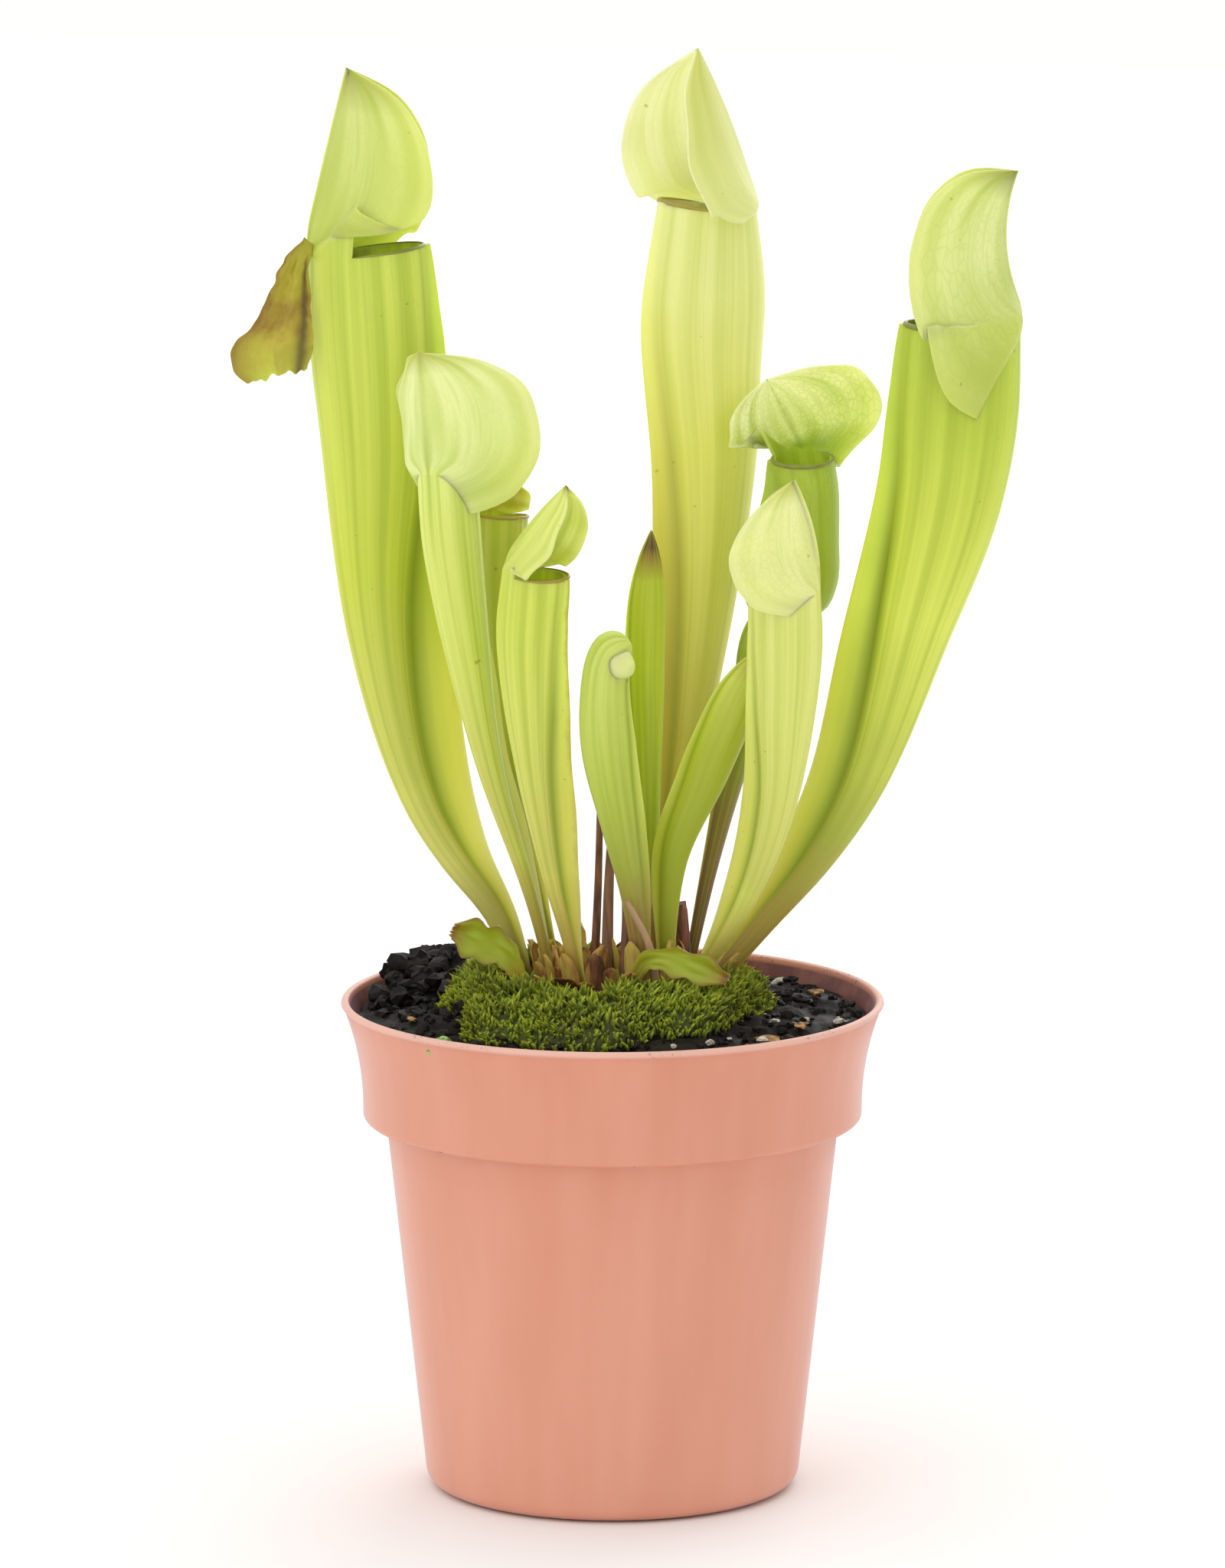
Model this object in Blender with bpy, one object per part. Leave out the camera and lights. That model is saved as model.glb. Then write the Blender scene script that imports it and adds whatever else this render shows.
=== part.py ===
# Potted pitcher plant: a clump of trumpet pitchers on a crown, in peat and moss, in a 9 cm plastic pot.
# The origin is the centre of the pot's underside. The front of the plant looks along -Y.
# Every driving dimension is in millimetres and degrees, and MM turns it into metres.

import math

import bmesh
import bpy
import numpy as np
from mathutils import Vector, geometry, noise

MM = 0.001
GAP = 0.3

# Pot
POT_HEIGHT = 82.0
POT_SIDES = 40
RIM_RADIUS = 45.0
RIM_BEAD = 0.7
FLARE_DEPTH = 18.0
COLLAR_RADIUS = 41.4
COLLAR_HEIGHT = 20.0
COLLAR_CORNER = 1.0
COLLAR_DEPTHS = (12.0, 7.0, 3.0)
BODY_TOP_RADIUS = 37.6
BODY_BASE_RADIUS = 30.8
BASE_CORNER = 3.0
POT_WALL = 1.1
POT_FLOOR = 1.4
FLOOR_FILLET = 2.0
SHELF_FILLET = 1.6
DRAIN_HOLES = 8
DRAIN_HOLE_DIAMETER = 5.0
DRAIN_CIRCLE_RADIUS = 20.0

# Ground in the pot
SOIL_EDGE_HEIGHT = 78.0
SOIL_DOME = 5.0
SOIL_LUMP = 1.3
PEAT_HEAP_CENTRE = (-31.0, 15.5)
PEAT_HEAP_HEIGHT = 5.0
PEAT_HEAP_RADIUS = 12.0
CROWN_CENTRE = (-0.5, -0.5, 80.0)
CROWN_HALF_SIZE = (19.5, 12.0, 6.2)
CROWN_KNOB = 0.5
MOSS_CENTRE = (-2.5, -8.0)
MOSS_HALF_SIZE = (25.0, 24.0)
MOSS_THICKNESS = 2.5
MOSS_EDGE_THICKNESS = 0.8
MOSS_LIFT = 0.8
MOSS_LOBES = ((3, 0.09, 57.0), (7, 0.06, 0.0))
MOSS_TUFT = 1.3
MOSS_TUFT_SPACING = 3.4

# Leaves
LEAF_WALL = 0.7
FOOT_HEIGHT = 82.5
SOCKET_DEPTH = 0.35
HOLLOW_FROM = 0.3
LIP_FLARE = 0.6
LOBE_CLEARANCE = 1.5
COLUMN_HALF_ANGLE = 77.0

# Stations along a leaf, from foot (0) to lip (1), with the share of the greatest size that holds there
TUBE_PROFILE = ((0.0, 0.15), (0.12, 0.19), (0.28, 0.28), (0.53, 0.55), (0.77, 0.9), (0.9, 1.0), (1.0, 0.93))
WING_PROFILE = ((0.0, 0.05), (0.12, 0.25), (0.28, 0.85), (0.5, 1.0), (0.77, 0.5), (0.9, 0.28), (1.0, 0.15))
FLAP_PROFILE = ((0.0, 0.0), (0.25, 0.05), (0.5, 0.15), (0.7, 0.2), (0.74, 0.9), (0.77, 1.0), (0.86, 0.55),
                (1.0, 0.1))
BUD_PROFILE = ((0.0, 0.3), (0.25, 0.42), (0.5, 0.75), (0.72, 1.0), (0.88, 0.9))

# Rows of a lid, from the neck (0) to the tip (1): how far up the keel is, and how far up and out the margin
LID_ROWS = (0.1, 0.2, 0.32, 0.45, 0.6, 0.75, 0.9)
LID_KEEL = ((0.0, 0.0), (0.1, 0.07), (0.2, 0.15), (0.32, 0.26), (0.45, 0.4), (0.6, 0.57), (0.75, 0.73),
            (0.9, 0.9), (1.0, 1.0))
LID_MARGIN_UP = ((0.0, 0.0), (0.1, 0.0), (0.2, 0.04), (0.32, 0.18), (0.45, 0.38), (0.6, 0.6), (0.75, 0.79),
                 (0.9, 0.94))
LID_MARGIN_OUT = ((0.0, 0.4), (0.1, 0.62), (0.2, 0.84), (0.32, 0.97), (0.45, 1.0), (0.6, 0.94), (0.75, 0.76),
                  (0.9, 0.42))
LID_MARGIN_SAG = 1.6
LID_HANG_SAG = 2.4

# Each open pitcher: the middle of its tube and wing from foot to lip, the way its mouth faces (0 = +X,
# 90 = +Y), the tube's greatest depth, its side width as a share of that, the wing on its front, or turned
# from there round the tube, how far the front of the mouth rises, the share of the depth at the lip where it
# isn't the profile's, and its lid. A lid's lean bends its keel over the mouth low down, and its arch bends it
# over the whole height. Fold and close are the angles of its
# halves at the keel and at the margin (0 = flat, 90 = shut). Width is how far each half reaches, the left
# one first as seen from behind, and hang is how far its lobe comes below the lip. Wrap is how far the
# halves pass round the tube at the neck, and roll tips the lid sideways.
PITCHERS = {
    "pitcher_left_tall": {
        "route": ((-14.4, 3.6), (-18.4, 5.6, 94.5), (-24.8, 8.0, 105.0), (-29.2, 9.0, 115.0),
                  (-33.0, 10.0, 129.5), (-35.7, 12.0, 147.0), (-37.6, 14.0, 175.0), (-40.4, 14.0, 204.5)),
        "facing": 2.0, "depth": 20.0, "side": 0.66, "wing": 7.5, "mouth_rise": 0.5,
        "lid": {"height": 32.5, "width": (20.5, 20.5), "lean": 18.0, "arch": 2.0, "fold": 52.0, "close": 84.0,
                "hang": (1.5, -9.0), "wrap": 0.3, "roll": 0.0},
    },
    "pitcher_centre_tall": {
        "route": ((6.5, 5.5), (8.8, 9.0, 106.0), (11.0, 12.0, 125.0), (13.6, 16.0, 149.0),
                  (14.8, 19.0, 170.0), (14.5, 20.0, 190.0), (15.7, 20.0, 210.5)),
        "facing": 210.0, "depth": 21.0, "side": 0.78, "wing": 4.5, "mouth_rise": 1.8, "lip": 0.8,
        "lid": {"height": 30.5, "width": (20.5, 20.5), "lean": 20.0, "arch": 14.0, "fold": 30.0,
                "close": 74.0, "hang": (1.0, 1.5), "wrap": 0.5, "roll": 0.0},
    },
    "pitcher_right_tall": {
        "route": ((14.5, -1.0), (23.6, 0.0, 94.0), (31.8, -1.0, 106.0), (39.4, -2.0, 121.0),
                  (46.6, -3.0, 144.0), (53.8, -4.0, 168.0), (57.2, -4.0, 195.0)),
        "facing": 186.0, "depth": 20.0, "side": 0.66, "wing": 6.0, "mouth_rise": -0.8,
        "lid": {"height": 27.0, "width": (21.0, 17.5), "lean": 40.0, "arch": -54.0, "fold": 38.0,
                "close": 88.0, "hang": (14.0, 7.0), "wrap": 1.0, "roll": 0.0},
    },
    "pitcher_left_middle": {
        "route": ((-9.5, 0.5), (-13.7, 0.0, 102.0), (-19.1, -1.0, 121.0), (-23.2, -2.0, 141.0),
                  (-25.8, -2.0, 157.0), (-27.2, -2.5, 171.0)),
        "facing": 58.0, "depth": 11.5, "side": 0.8, "wing": 3.5, "mouth_rise": 0.0,
        "lid": {"height": 20.5, "width": (15.5, 19.5), "lean": -2.0, "arch": 8.0, "fold": 24.0, "close": 60.0,
                "hang": (3.0, 7.0), "wrap": 0.7, "roll": 0.0},
    },
    "pitcher_left_small": {
        "route": ((-5.0, -4.5), (-8.3, -7.0, 103.0), (-11.2, -9.0, 123.0), (-12.9, -11.0, 142.0),
                  (-12.6, -12.0, 155.0)),
        "facing": -28.0, "depth": 11.5, "side": 0.85, "wing": 4.0, "mouth_rise": 0.0,
        "lid": {"height": 19.5, "width": (10.5, 10.0), "lean": 30.0, "arch": 16.0, "fold": 36.0,
                "close": 64.0, "hang": (0.0, -2.0), "wrap": 0.3, "roll": 0.0},
    },
    "pitcher_left_back": {
        "route": ((-8.5, 6.8), (-13.0, 7.0, 103.0), (-17.0, 8.5, 122.0), (-18.9, 11.0, 145.0),
                  (-18.6, 12.0, 161.0)),
        "facing": -50.0, "depth": 10.0, "side": 0.85, "wing": 2.5, "mouth_rise": 0.0,
        "lid": {"height": 8.0, "width": (8.0, 8.0), "lean": 10.0, "arch": 15.0, "fold": 25.0, "close": 55.0,
                "hang": (0.0, 0.0), "wrap": 0.3, "roll": 0.0},
    },
    "pitcher_right_back": {
        "route": ((12.0, 6.0), (16.4, 7.5, 104.0), (22.5, 8.0, 130.0), (28.6, 8.0, 150.0),
                  (31.0, 8.0, 164.0), (31.0, 8.0, 172.0)),
        "facing": 270.0, "depth": 11.0, "side": 0.95, "wing": 7.5, "mouth_rise": -1.5,
        "wing_turn": 77.0, "wing_profile": FLAP_PROFILE,
        "lid": {"height": 13.0, "width": (17.0, 11.0), "lean": -6.0, "arch": 8.0, "fold": 10.0, "close": 30.0,
                "hang": (2.5, -5.5), "wrap": 0.3, "roll": -26.0},
    },
    "pitcher_right_small": {
        "route": ((11.5, -7.5), (20.0, -10.0, 99.0), (25.4, -13.0, 116.0), (27.7, -15.0, 136.0),
                  (28.4, -16.0, 153.0)),
        "facing": 172.0, "depth": 11.5, "side": 0.85, "wing": 3.0, "mouth_rise": 0.0,
        "lid": {"height": 19.5, "width": (16.0, 14.0), "lean": 0.0, "arch": 30.0, "fold": 42.0, "close": 80.0,
                "hang": (3.0, 1.5), "wrap": 0.6, "roll": 0.0},
    },
}

# Young pitchers, still shut: the route runs on to the tip.
BUDS = {
    "young_pitcher_curled": {
        "route": ((5.2, -6.6), (3.8, -8.4, 101.0), (1.8, -10.5, 113.0), (-0.6, -12.0, 126.0),
                  (-1.2, -12.5, 136.5), (0.0, -12.5, 142.0), (3.0, -12.5, 143.8)),
        "facing": 0.0, "depth": 8.2, "side": 0.85, "wing": 1.4, "end": 0.85,
    },
    "young_pitcher_leaning": {
        "route": ((9.0, -3.0), (9.4, -4.5, 106.0), (15.0, -5.5, 121.0), (20.6, -6.5, 134.0),
                  (24.0, -7.0, 141.5)),
        "facing": 180.0, "depth": 7.4, "side": 0.6, "wing": 1.6, "end": 0.25,
    },
    "young_pitcher_back": {
        "route": ((3.5, 0.5), (5.4, 1.0, 104.0), (5.2, 2.0, 122.0), (5.4, 3.0, 142.0), (6.4, 3.0, 160.0)),
        "facing": 180.0, "depth": 5.8, "side": 0.7, "wing": 1.4, "end": 0.2,
    },
    "stub_leaf_left": {
        "route": ((-14.5, -4.5), (-17.0, -5.0, 90.0), (-21.5, -5.0, 92.5), (-26.5, -5.0, 94.5)),
        "facing": 80.0, "depth": 2.4, "side": 2.4, "wing": 0.2, "end": 0.4,
    },
    "scale_leaf_front": {
        "route": ((2.6, -9.3), (5.5, -12.0, 90.5), (12.0, -16.0, 90.8), (19.0, -18.0, 88.8)),
        "facing": 90.0, "depth": 1.5, "side": 3.0, "wing": 0.1, "end": 0.4,
    },
}

# Withered stalks: foot, middle and top, and the radius at the foot and at the top.
STALKS = {
    "dead_stalk_tall": (((-3.2, 2.4), (-2.4, 3.0, 100.0), (-2.0, 4.0, 116.5)), 0.8, 0.5),
    "dead_stalk_middle": (((-1.0, -1.6), (-0.6, -1.0, 101.0), (0.2, -0.5, 115.5)), 1.1, 0.6),
    "dead_stalk_short": (((1.6, -4.4), (2.2, -4.6, 96.0), (2.0, -4.6, 102.5)), 0.8, 0.6),
    "dead_stalk_pale": (((7.8, -9.3), (6.0, -10.9, 93.0), (2.4, -12.0, 100.5)), 0.7, 0.5),
    "dead_stub_dark": (((12.3, 1.6), (11.6, 0.6, 92.0), (11.0, 0.0, 98.0)), 1.1, 1.3),
}

# Withered ear of the tall left pitcher's lid: its middle line, and its width along it
EAR_ROUTE = ((-47.5, 11.5, 201.5), (-51.5, 8.5, 205.0), (-54.6, 6.6, 200.5), (-55.4, 5.4, 195.0),
             (-56.4, 4.4, 190.0), (-56.5, 4.0, 185.3))
EAR_WIDTHS = (3.0, 4.5, 5.5, 8.0, 10.5, 13.0, 12.4)
EAR_THICKNESS = 0.9
EAR_CRUMPLE = 0.66


def remove_everything():
    for thing in list(bpy.data.objects):
        bpy.data.objects.remove(thing)


def material(name, colour, roughness, metallic=0.0):
    """A plain shaded material with the colour in sRGB 0-255."""
    made = bpy.data.materials.new(name)
    made.use_nodes = True
    shader = made.node_tree.nodes["Principled BSDF"]
    linear = [((c / 255 + 0.055) / 1.055) ** 2.4 for c in colour]
    shader.inputs["Base Color"].default_value = (*linear, 1.0)
    shader.inputs["Roughness"].default_value = roughness
    shader.inputs["Metallic"].default_value = metallic
    made.diffuse_color = (*linear, 1.0)
    return made


def add_object(name, points, faces, finish=None, smooth_angle=50.0):
    """An object from points in millimetres."""
    mesh = bpy.data.meshes.new(name)
    mesh.from_pydata([tuple(float(v) * MM for v in p) for p in points], [], faces)
    if finish:
        mesh.materials.append(finish)
    mesh.shade_smooth()
    mesh.set_sharp_from_angle(angle=math.radians(smooth_angle))
    thing = bpy.data.objects.new(name, mesh)
    bpy.context.scene.collection.objects.link(thing)
    return thing


def add_cutter(name, points, faces):
    """A hidden guide solid, which Booleans take out of other pieces."""
    cutter = add_object(name, points, faces)
    cutter.hide_render = True
    cutter.display_type = "WIRE"
    return cutter


def smooth_value(stations, at):
    """A value read at one place from a smooth curve through (place, value) stations."""
    places = np.array([s[0] for s in stations])
    values = np.array([s[1] for s in stations])
    slopes = np.gradient(values, places)
    i = int(np.clip(np.searchsorted(places, at) - 1, 0, len(places) - 2))
    span = places[i + 1] - places[i]
    u = np.clip((at - places[i]) / span, 0.0, 1.0)
    start, end = values[i], values[i + 1]
    return float(
        start * (2 * u**3 - 3 * u**2 + 1)
        + end * (3 * u**2 - 2 * u**3)
        + span * (slopes[i] * (u**3 - 2 * u**2 + u) + slopes[i + 1] * (u**3 - u**2))
    )


def blend_step(low, high, at):
    """0 below low, 1 above high, and smooth between."""
    u = min(max((at - low) / (high - low), 0.0), 1.0)
    return u * u * (3 - 2 * u)


class Route:
    """A smooth line through points, read by the share of its length."""

    STEPS = 16

    def __init__(self, points):
        knots = [Vector(p) for p in points]
        ways = [knots[min(i + 1, len(knots) - 1)] - knots[max(i - 1, 0)] for i in range(len(knots))]
        line = []
        for a, b, way_a, way_b in zip(knots, knots[1:], ways, ways[1:]):
            reach = (b - a).length / 3
            handles = (a + way_a.normalized() * reach, b - way_b.normalized() * reach)
            line += geometry.interpolate_bezier(a, *handles, b, self.STEPS)[:-1]
        line.append(knots[-1])
        self.line = np.array([tuple(p) for p in line])
        steps = np.linalg.norm(np.diff(self.line, axis=0), axis=1)
        self.length = float(steps.sum())
        self.shares = np.concatenate([[0.0], np.cumsum(steps)]) / self.length

    def point(self, share):
        return np.array([np.interp(share, self.shares, self.line[:, k]) for k in range(3)])

    def way(self, share, step=0.02):
        ahead = self.point(min(share + step, 1.0)) - self.point(max(share - step, 0.0))
        return ahead / np.linalg.norm(ahead)


def whole_route(points):
    """The route of a leaf, with its foot's height filled in."""
    foot = (*points[0][:2], FOOT_HEIGHT)
    return Route((foot, *points[1:]))


def leaf_frame(route, share, facing):
    """The tube's way up, the way to its front and the way to its side, at a share of its route."""
    up = route.way(share)
    front = np.array([math.cos(math.radians(facing)), math.sin(math.radians(facing)), 0.0])
    front = front - up * (front @ up)
    front = front / np.linalg.norm(front)
    return up, front, np.cross(front, up)


def tube_ring(route, share, spec, profile, angles, grow=0.0, wing=True):
    """Points around a leaf's tube, from its back round to its front, where the wing stands out."""
    up, front, side = leaf_frame(route, share, spec["facing"])
    depth = spec["depth"] * smooth_value(profile, share)
    reach = spec["wing"] * smooth_value(spec.get("wing_profile", WING_PROFILE), share)
    half_depth = depth / 2 + grow
    half_side = depth * spec["side"] / 2 + grow
    wing_at = math.pi - math.radians(spec.get("wing_turn", 0.0))
    wing_way = side * math.sin(wing_at) - front * math.cos(wing_at)
    middle = route.point(share) - wing_way * reach / 2
    ring = []
    for angle in angles:
        point = middle - front * half_depth * math.cos(angle) + side * half_side * math.sin(angle)
        if wing and math.cos(angle - wing_at) > 0.999:
            point = point + wing_way * reach
        ring.append(point)
    return ring


def ring_faces(lower, upper, flip=False):
    """Triangles between two rings of point numbers of the same size."""
    faces = []
    count = len(lower)
    for k in range(count):
        a, b = lower[k], lower[(k + 1) % count]
        c, d = upper[(k + 1) % count], upper[k]
        faces += [(a, b, c), (a, c, d)]
    return [f[::-1] for f in faces] if flip else faces


def fan(ring, apex, flip=False):
    """Triangles from a ring of point numbers to one point."""
    faces = [(ring[k], ring[(k + 1) % len(ring)], apex) for k in range(len(ring))]
    return [f[::-1] for f in faces] if flip else faces


def lofted(rings, end_point=None):
    """A closed solid through rings of points, with a flat start and a flat or pointed end."""
    count = len(rings[0])
    points = [p for ring in rings for p in ring]
    numbers = [list(range(i * count, (i + 1) * count)) for i in range(len(rings))]
    faces = [tuple(reversed(numbers[0]))]
    for lower, upper in zip(numbers, numbers[1:]):
        faces += ring_faces(lower, upper)
    if end_point is None:
        faces.append(tuple(numbers[-1]))
    else:
        points.append(end_point)
        faces += fan(numbers[-1], len(points) - 1)
    return points, faces


def lid_point(spec, lip, keel_start, frame, row, across, outer):
    """A point on the lid's outer or inner face, which leaves from a point on the lip.

    row runs from neck (0) to tip (1), and across from -1 to 1, with the keel at 0.
    """
    lid = spec["lid"]
    up, front, side = frame
    roll = math.radians(lid["roll"])
    up, side = up * math.cos(roll) - side * math.sin(roll), side * math.cos(roll) + up * math.sin(roll)
    hand, share = math.copysign(1.0, across), abs(across)
    half = 0 if across < 0 else 1
    keel_up = lid["height"] * smooth_value(LID_KEEL, row)
    hang = lid["hang"][half] * (1 - blend_step(0.1, 0.6, row))
    margin_up = lid["height"] * smooth_value(LID_MARGIN_UP, row)
    along = keel_up + (margin_up - keel_up) * share**LID_MARGIN_SAG - hang * share**LID_HANG_SAG
    width = lid["width"][half] * smooth_value(LID_MARGIN_OUT, row)
    # The keel, bent over the mouth by its lean low down and by its arch over its whole length
    steps = 12
    keel = keel_start.copy()
    tilt = 0.0
    for k in range(steps):
        place = along * (k + 0.5) / steps
        tilt = math.radians(
            lid["lean"] * blend_step(0.0, 0.25 * lid["height"], place)
            + lid["arch"] * max(place, 0.0) / lid["height"]
        )
        keel = keel + (up * math.cos(tilt) + front * math.sin(tilt)) * along / steps
    inward = front * math.cos(tilt) - up * math.sin(tilt)
    # The half, which turns from fold at the keel to close at the margin, and at the neck keeps off the tube
    wrap = lid["wrap"] * (1 - blend_step(0.05, 0.5, row))
    clear = spec["depth"] * spec["side"] / 2 + LOBE_CLEARANCE
    point = keel
    aside = 0.0
    turn = 0.0
    for k in range(steps):
        folded = lid["fold"] + (lid["close"] - lid["fold"]) * share * (k + 0.5) / steps
        wrapped = 90.0 * blend_step(0.6 * clear, 1.1 * clear, aside)
        turn = math.radians(folded + (wrapped - folded) * wrap)
        step = width * share / steps
        point = point + (side * hand * math.cos(turn) + inward * math.sin(turn)) * step
        aside += step * math.cos(turn)
    normal = inward * math.cos(turn) - side * hand * math.sin(turn)
    from_lip = lip + (keel - keel_start)
    mix = blend_step(0.0, 0.2, row)
    return from_lip * (1 - mix) + point * mix + normal * (0.0 if outer else LEAF_WALL * mix)


def mouth_ring(route, share, spec, angles, outer):
    """A ring of the tube's outer or inner wall: near the mouth its front rises and its edge flares."""
    profile = TUBE_PROFILE[:-1] + ((1.0, spec.get("lip", TUBE_PROFILE[-1][1])),)
    grow = 0.0 if outer else -LEAF_WALL
    mouth = blend_step(0.9, 1.0, share)
    up, front, side = leaf_frame(route, share, spec["facing"])
    ring = []
    for point, angle in zip(tube_ring(route, share, spec, profile, angles, grow, wing=outer), angles):
        frontness = mouth * (1 - math.cos(angle)) / 2
        outward = side * math.sin(angle) - front * math.cos(angle)
        ring.append(point + up * frontness * spec["mouth_rise"] + outward * frontness * LIP_FLARE)
    return ring


def sheet_faces(sheet_out, sheet_in, tip):
    """Triangles of the lid: both of its faces, its two free margins, and its tip."""
    faces = []
    width = len(sheet_out[0])
    for lower_out, upper_out, lower_in, upper_in in zip(sheet_out, sheet_out[1:], sheet_in, sheet_in[1:]):
        for k in range(width - 1):
            a, b, c, d = lower_out[k], lower_out[k + 1], upper_out[k + 1], upper_out[k]
            faces += [(a, b, c), (a, c, d)]
            a, b, c, d = lower_in[k], lower_in[k + 1], upper_in[k + 1], upper_in[k]
            faces += [(c, b, a), (d, c, a)]
        for k, turned in ((0, False), (-1, True)):
            a, b, c, d = lower_in[k], lower_out[k], upper_out[k], upper_in[k]
            margin = [(a, b, c), (a, c, d)]
            faces += [f[::-1] for f in margin] if turned else margin
    last_out, last_in = sheet_out[-1], sheet_in[-1]
    for k in range(width - 1):
        faces.append((last_out[k], last_out[k + 1], tip))
        faces.append((last_in[k + 1], last_in[k], tip))
    faces.append((last_in[0], last_out[0], tip))
    faces.append((last_out[-1], last_in[-1], tip))
    return faces


def pitcher(name, spec, finish, around=14, rows=13):
    """An open pitcher: a hollow tube with a wing down its front, and a lid that its back runs up into."""
    route = whole_route(spec["route"])
    angles = [2 * math.pi * k / around for k in range(around)]
    shares = [(k / (rows - 1)) ** 0.9 for k in range(rows)]
    points = []

    def add(ring):
        points.extend(ring)
        return list(range(len(points) - len(ring), len(points)))

    outer = [add(mouth_ring(route, share, spec, angles, True)) for share in shares]
    inner = [add(mouth_ring(route, share, spec, angles, False)) for share in shares if share >= HOLLOW_FROM]
    faces = [tuple(reversed(outer[0])), tuple(inner[0])]
    for lower, upper in zip(outer, outer[1:]):
        faces += ring_faces(lower, upper)
    for lower, upper in zip(inner, inner[1:]):
        faces += ring_faces(lower, upper, flip=True)

    # The back points of the lip, from one end of the column to the other, run up into the lid
    reach = int(math.radians(COLUMN_HALF_ANGLE) / (2 * math.pi / around) + 0.5)
    columns = range(-reach, reach + 1)
    frame = leaf_frame(route, 1.0, spec["facing"])
    keel_start = points[outer[-1][0]]
    lip_out = [outer[-1][c % around] for c in columns]
    lip_in = [inner[-1][c % around] for c in columns]

    def lid_row(lip, row, out):
        starts = [points[k] for k in lip]
        return [lid_point(spec, p, keel_start, frame, row, c / reach, out) for p, c in zip(starts, columns)]

    sheet_out = [lip_out] + [add(lid_row(lip_out, row, True)) for row in LID_ROWS]
    sheet_in = [lip_in] + [add(lid_row(lip_in, row, False)) for row in LID_ROWS]
    tip = add([lid_point(spec, keel_start, keel_start, frame, 1.0, 0.0, True)])[0]
    faces += sheet_faces(sheet_out, sheet_in, tip)

    # The rim of the mouth, round the front from one end of the column to the other
    for k in range(reach, around - reach):
        a, b = outer[-1][k], outer[-1][(k + 1) % around]
        c, d = inner[-1][(k + 1) % around], inner[-1][k]
        faces += [(a, b, c), (a, c, d)]
    return add_object(name, points, faces, finish)


def bud(name, spec, finish, around=10, rows=11):
    """A leaf that is still shut: a slim closed spindle with a low wing."""
    route = whole_route(spec["route"])
    angles = [2 * math.pi * k / around for k in range(around)]
    rings = []
    for k in range(rows):
        share = k / (rows - 1)
        rings.append(tube_ring(route, share * 0.985, spec, BUD_PROFILE + ((1.0, spec["end"]),), angles))
    return add_object(name, *lofted(rings, end_point=route.point(1.0)), finish)


def stalk(name, points, foot_radius, top_radius, finish, around=8, rows=6):
    """A withered leaf stalk, a bent rod that gets thinner."""
    spec = {"facing": 0.0, "depth": 2.0, "side": 1.0, "wing": 0.0}
    profile = ((0.0, foot_radius), (1.0, top_radius))
    route = whole_route(points)
    angles = [2 * math.pi * k / around for k in range(around)]
    rings = [tube_ring(route, k / (rows - 1), spec, profile, angles) for k in range(rows)]
    return add_object(name, *lofted(rings), finish)


def socket_cutter(name, points, spec, profile, around=8):
    """The room that a leaf's foot stands in, a little wider than the foot."""
    route = whole_route(points)
    up, front, side = leaf_frame(route, 0.0, spec["facing"])
    angles = [2 * math.pi * k / around for k in range(around)]
    reach = 10.0 / route.length
    rings = []
    for k in range(-1, 4):
        share = max(k, 0) * reach / 3
        drop = -up * SOCKET_DEPTH if k < 0 else up * 0.0
        ring = tube_ring(route, share, spec, profile, angles, grow=SOCKET_DEPTH + 0.1)
        rings.append([p + drop for p in ring])
    return add_cutter(name, *lofted(rings))


def cut(target, cutters):
    """Takes the cutters out of the target, one Boolean each."""
    for cutter in cutters:
        step = target.modifiers.new(cutter.name, "BOOLEAN")
        step.operation = "DIFFERENCE"
        step.object = cutter
    apply_modifiers(target)


def remove(things):
    for thing in things:
        bpy.data.objects.remove(thing)


def apply_modifiers(thing):
    """Keeps the shape that the modifiers give, as a plain mesh."""
    graph = bpy.context.evaluated_depsgraph_get()
    made = bpy.data.meshes.new_from_object(thing.evaluated_get(graph))
    thing.modifiers.clear()
    thing.data = made


def collar_radius(depth):
    """The collar's outer radius at a depth below the rim: it flares to the lip."""
    return COLLAR_RADIUS + (RIM_RADIUS - COLLAR_RADIUS) * max(0.0, 1 - depth / FLARE_DEPTH) ** 2


def body_radius(height):
    """The pot body's outer radius at a height, below the collar."""
    slope = (BODY_TOP_RADIUS - BODY_BASE_RADIUS) / (POT_HEIGHT - COLLAR_HEIGHT)
    return BODY_BASE_RADIUS + slope * height


def arc(centre, radius, start, end, steps):
    """Points on an arc in the profile's plane, angles in degrees."""
    turn = [math.radians(start + (end - start) * k / steps) for k in range(steps + 1)]
    return [(centre[0] + radius * math.cos(t), centre[1] + radius * math.sin(t)) for t in turn]


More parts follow.
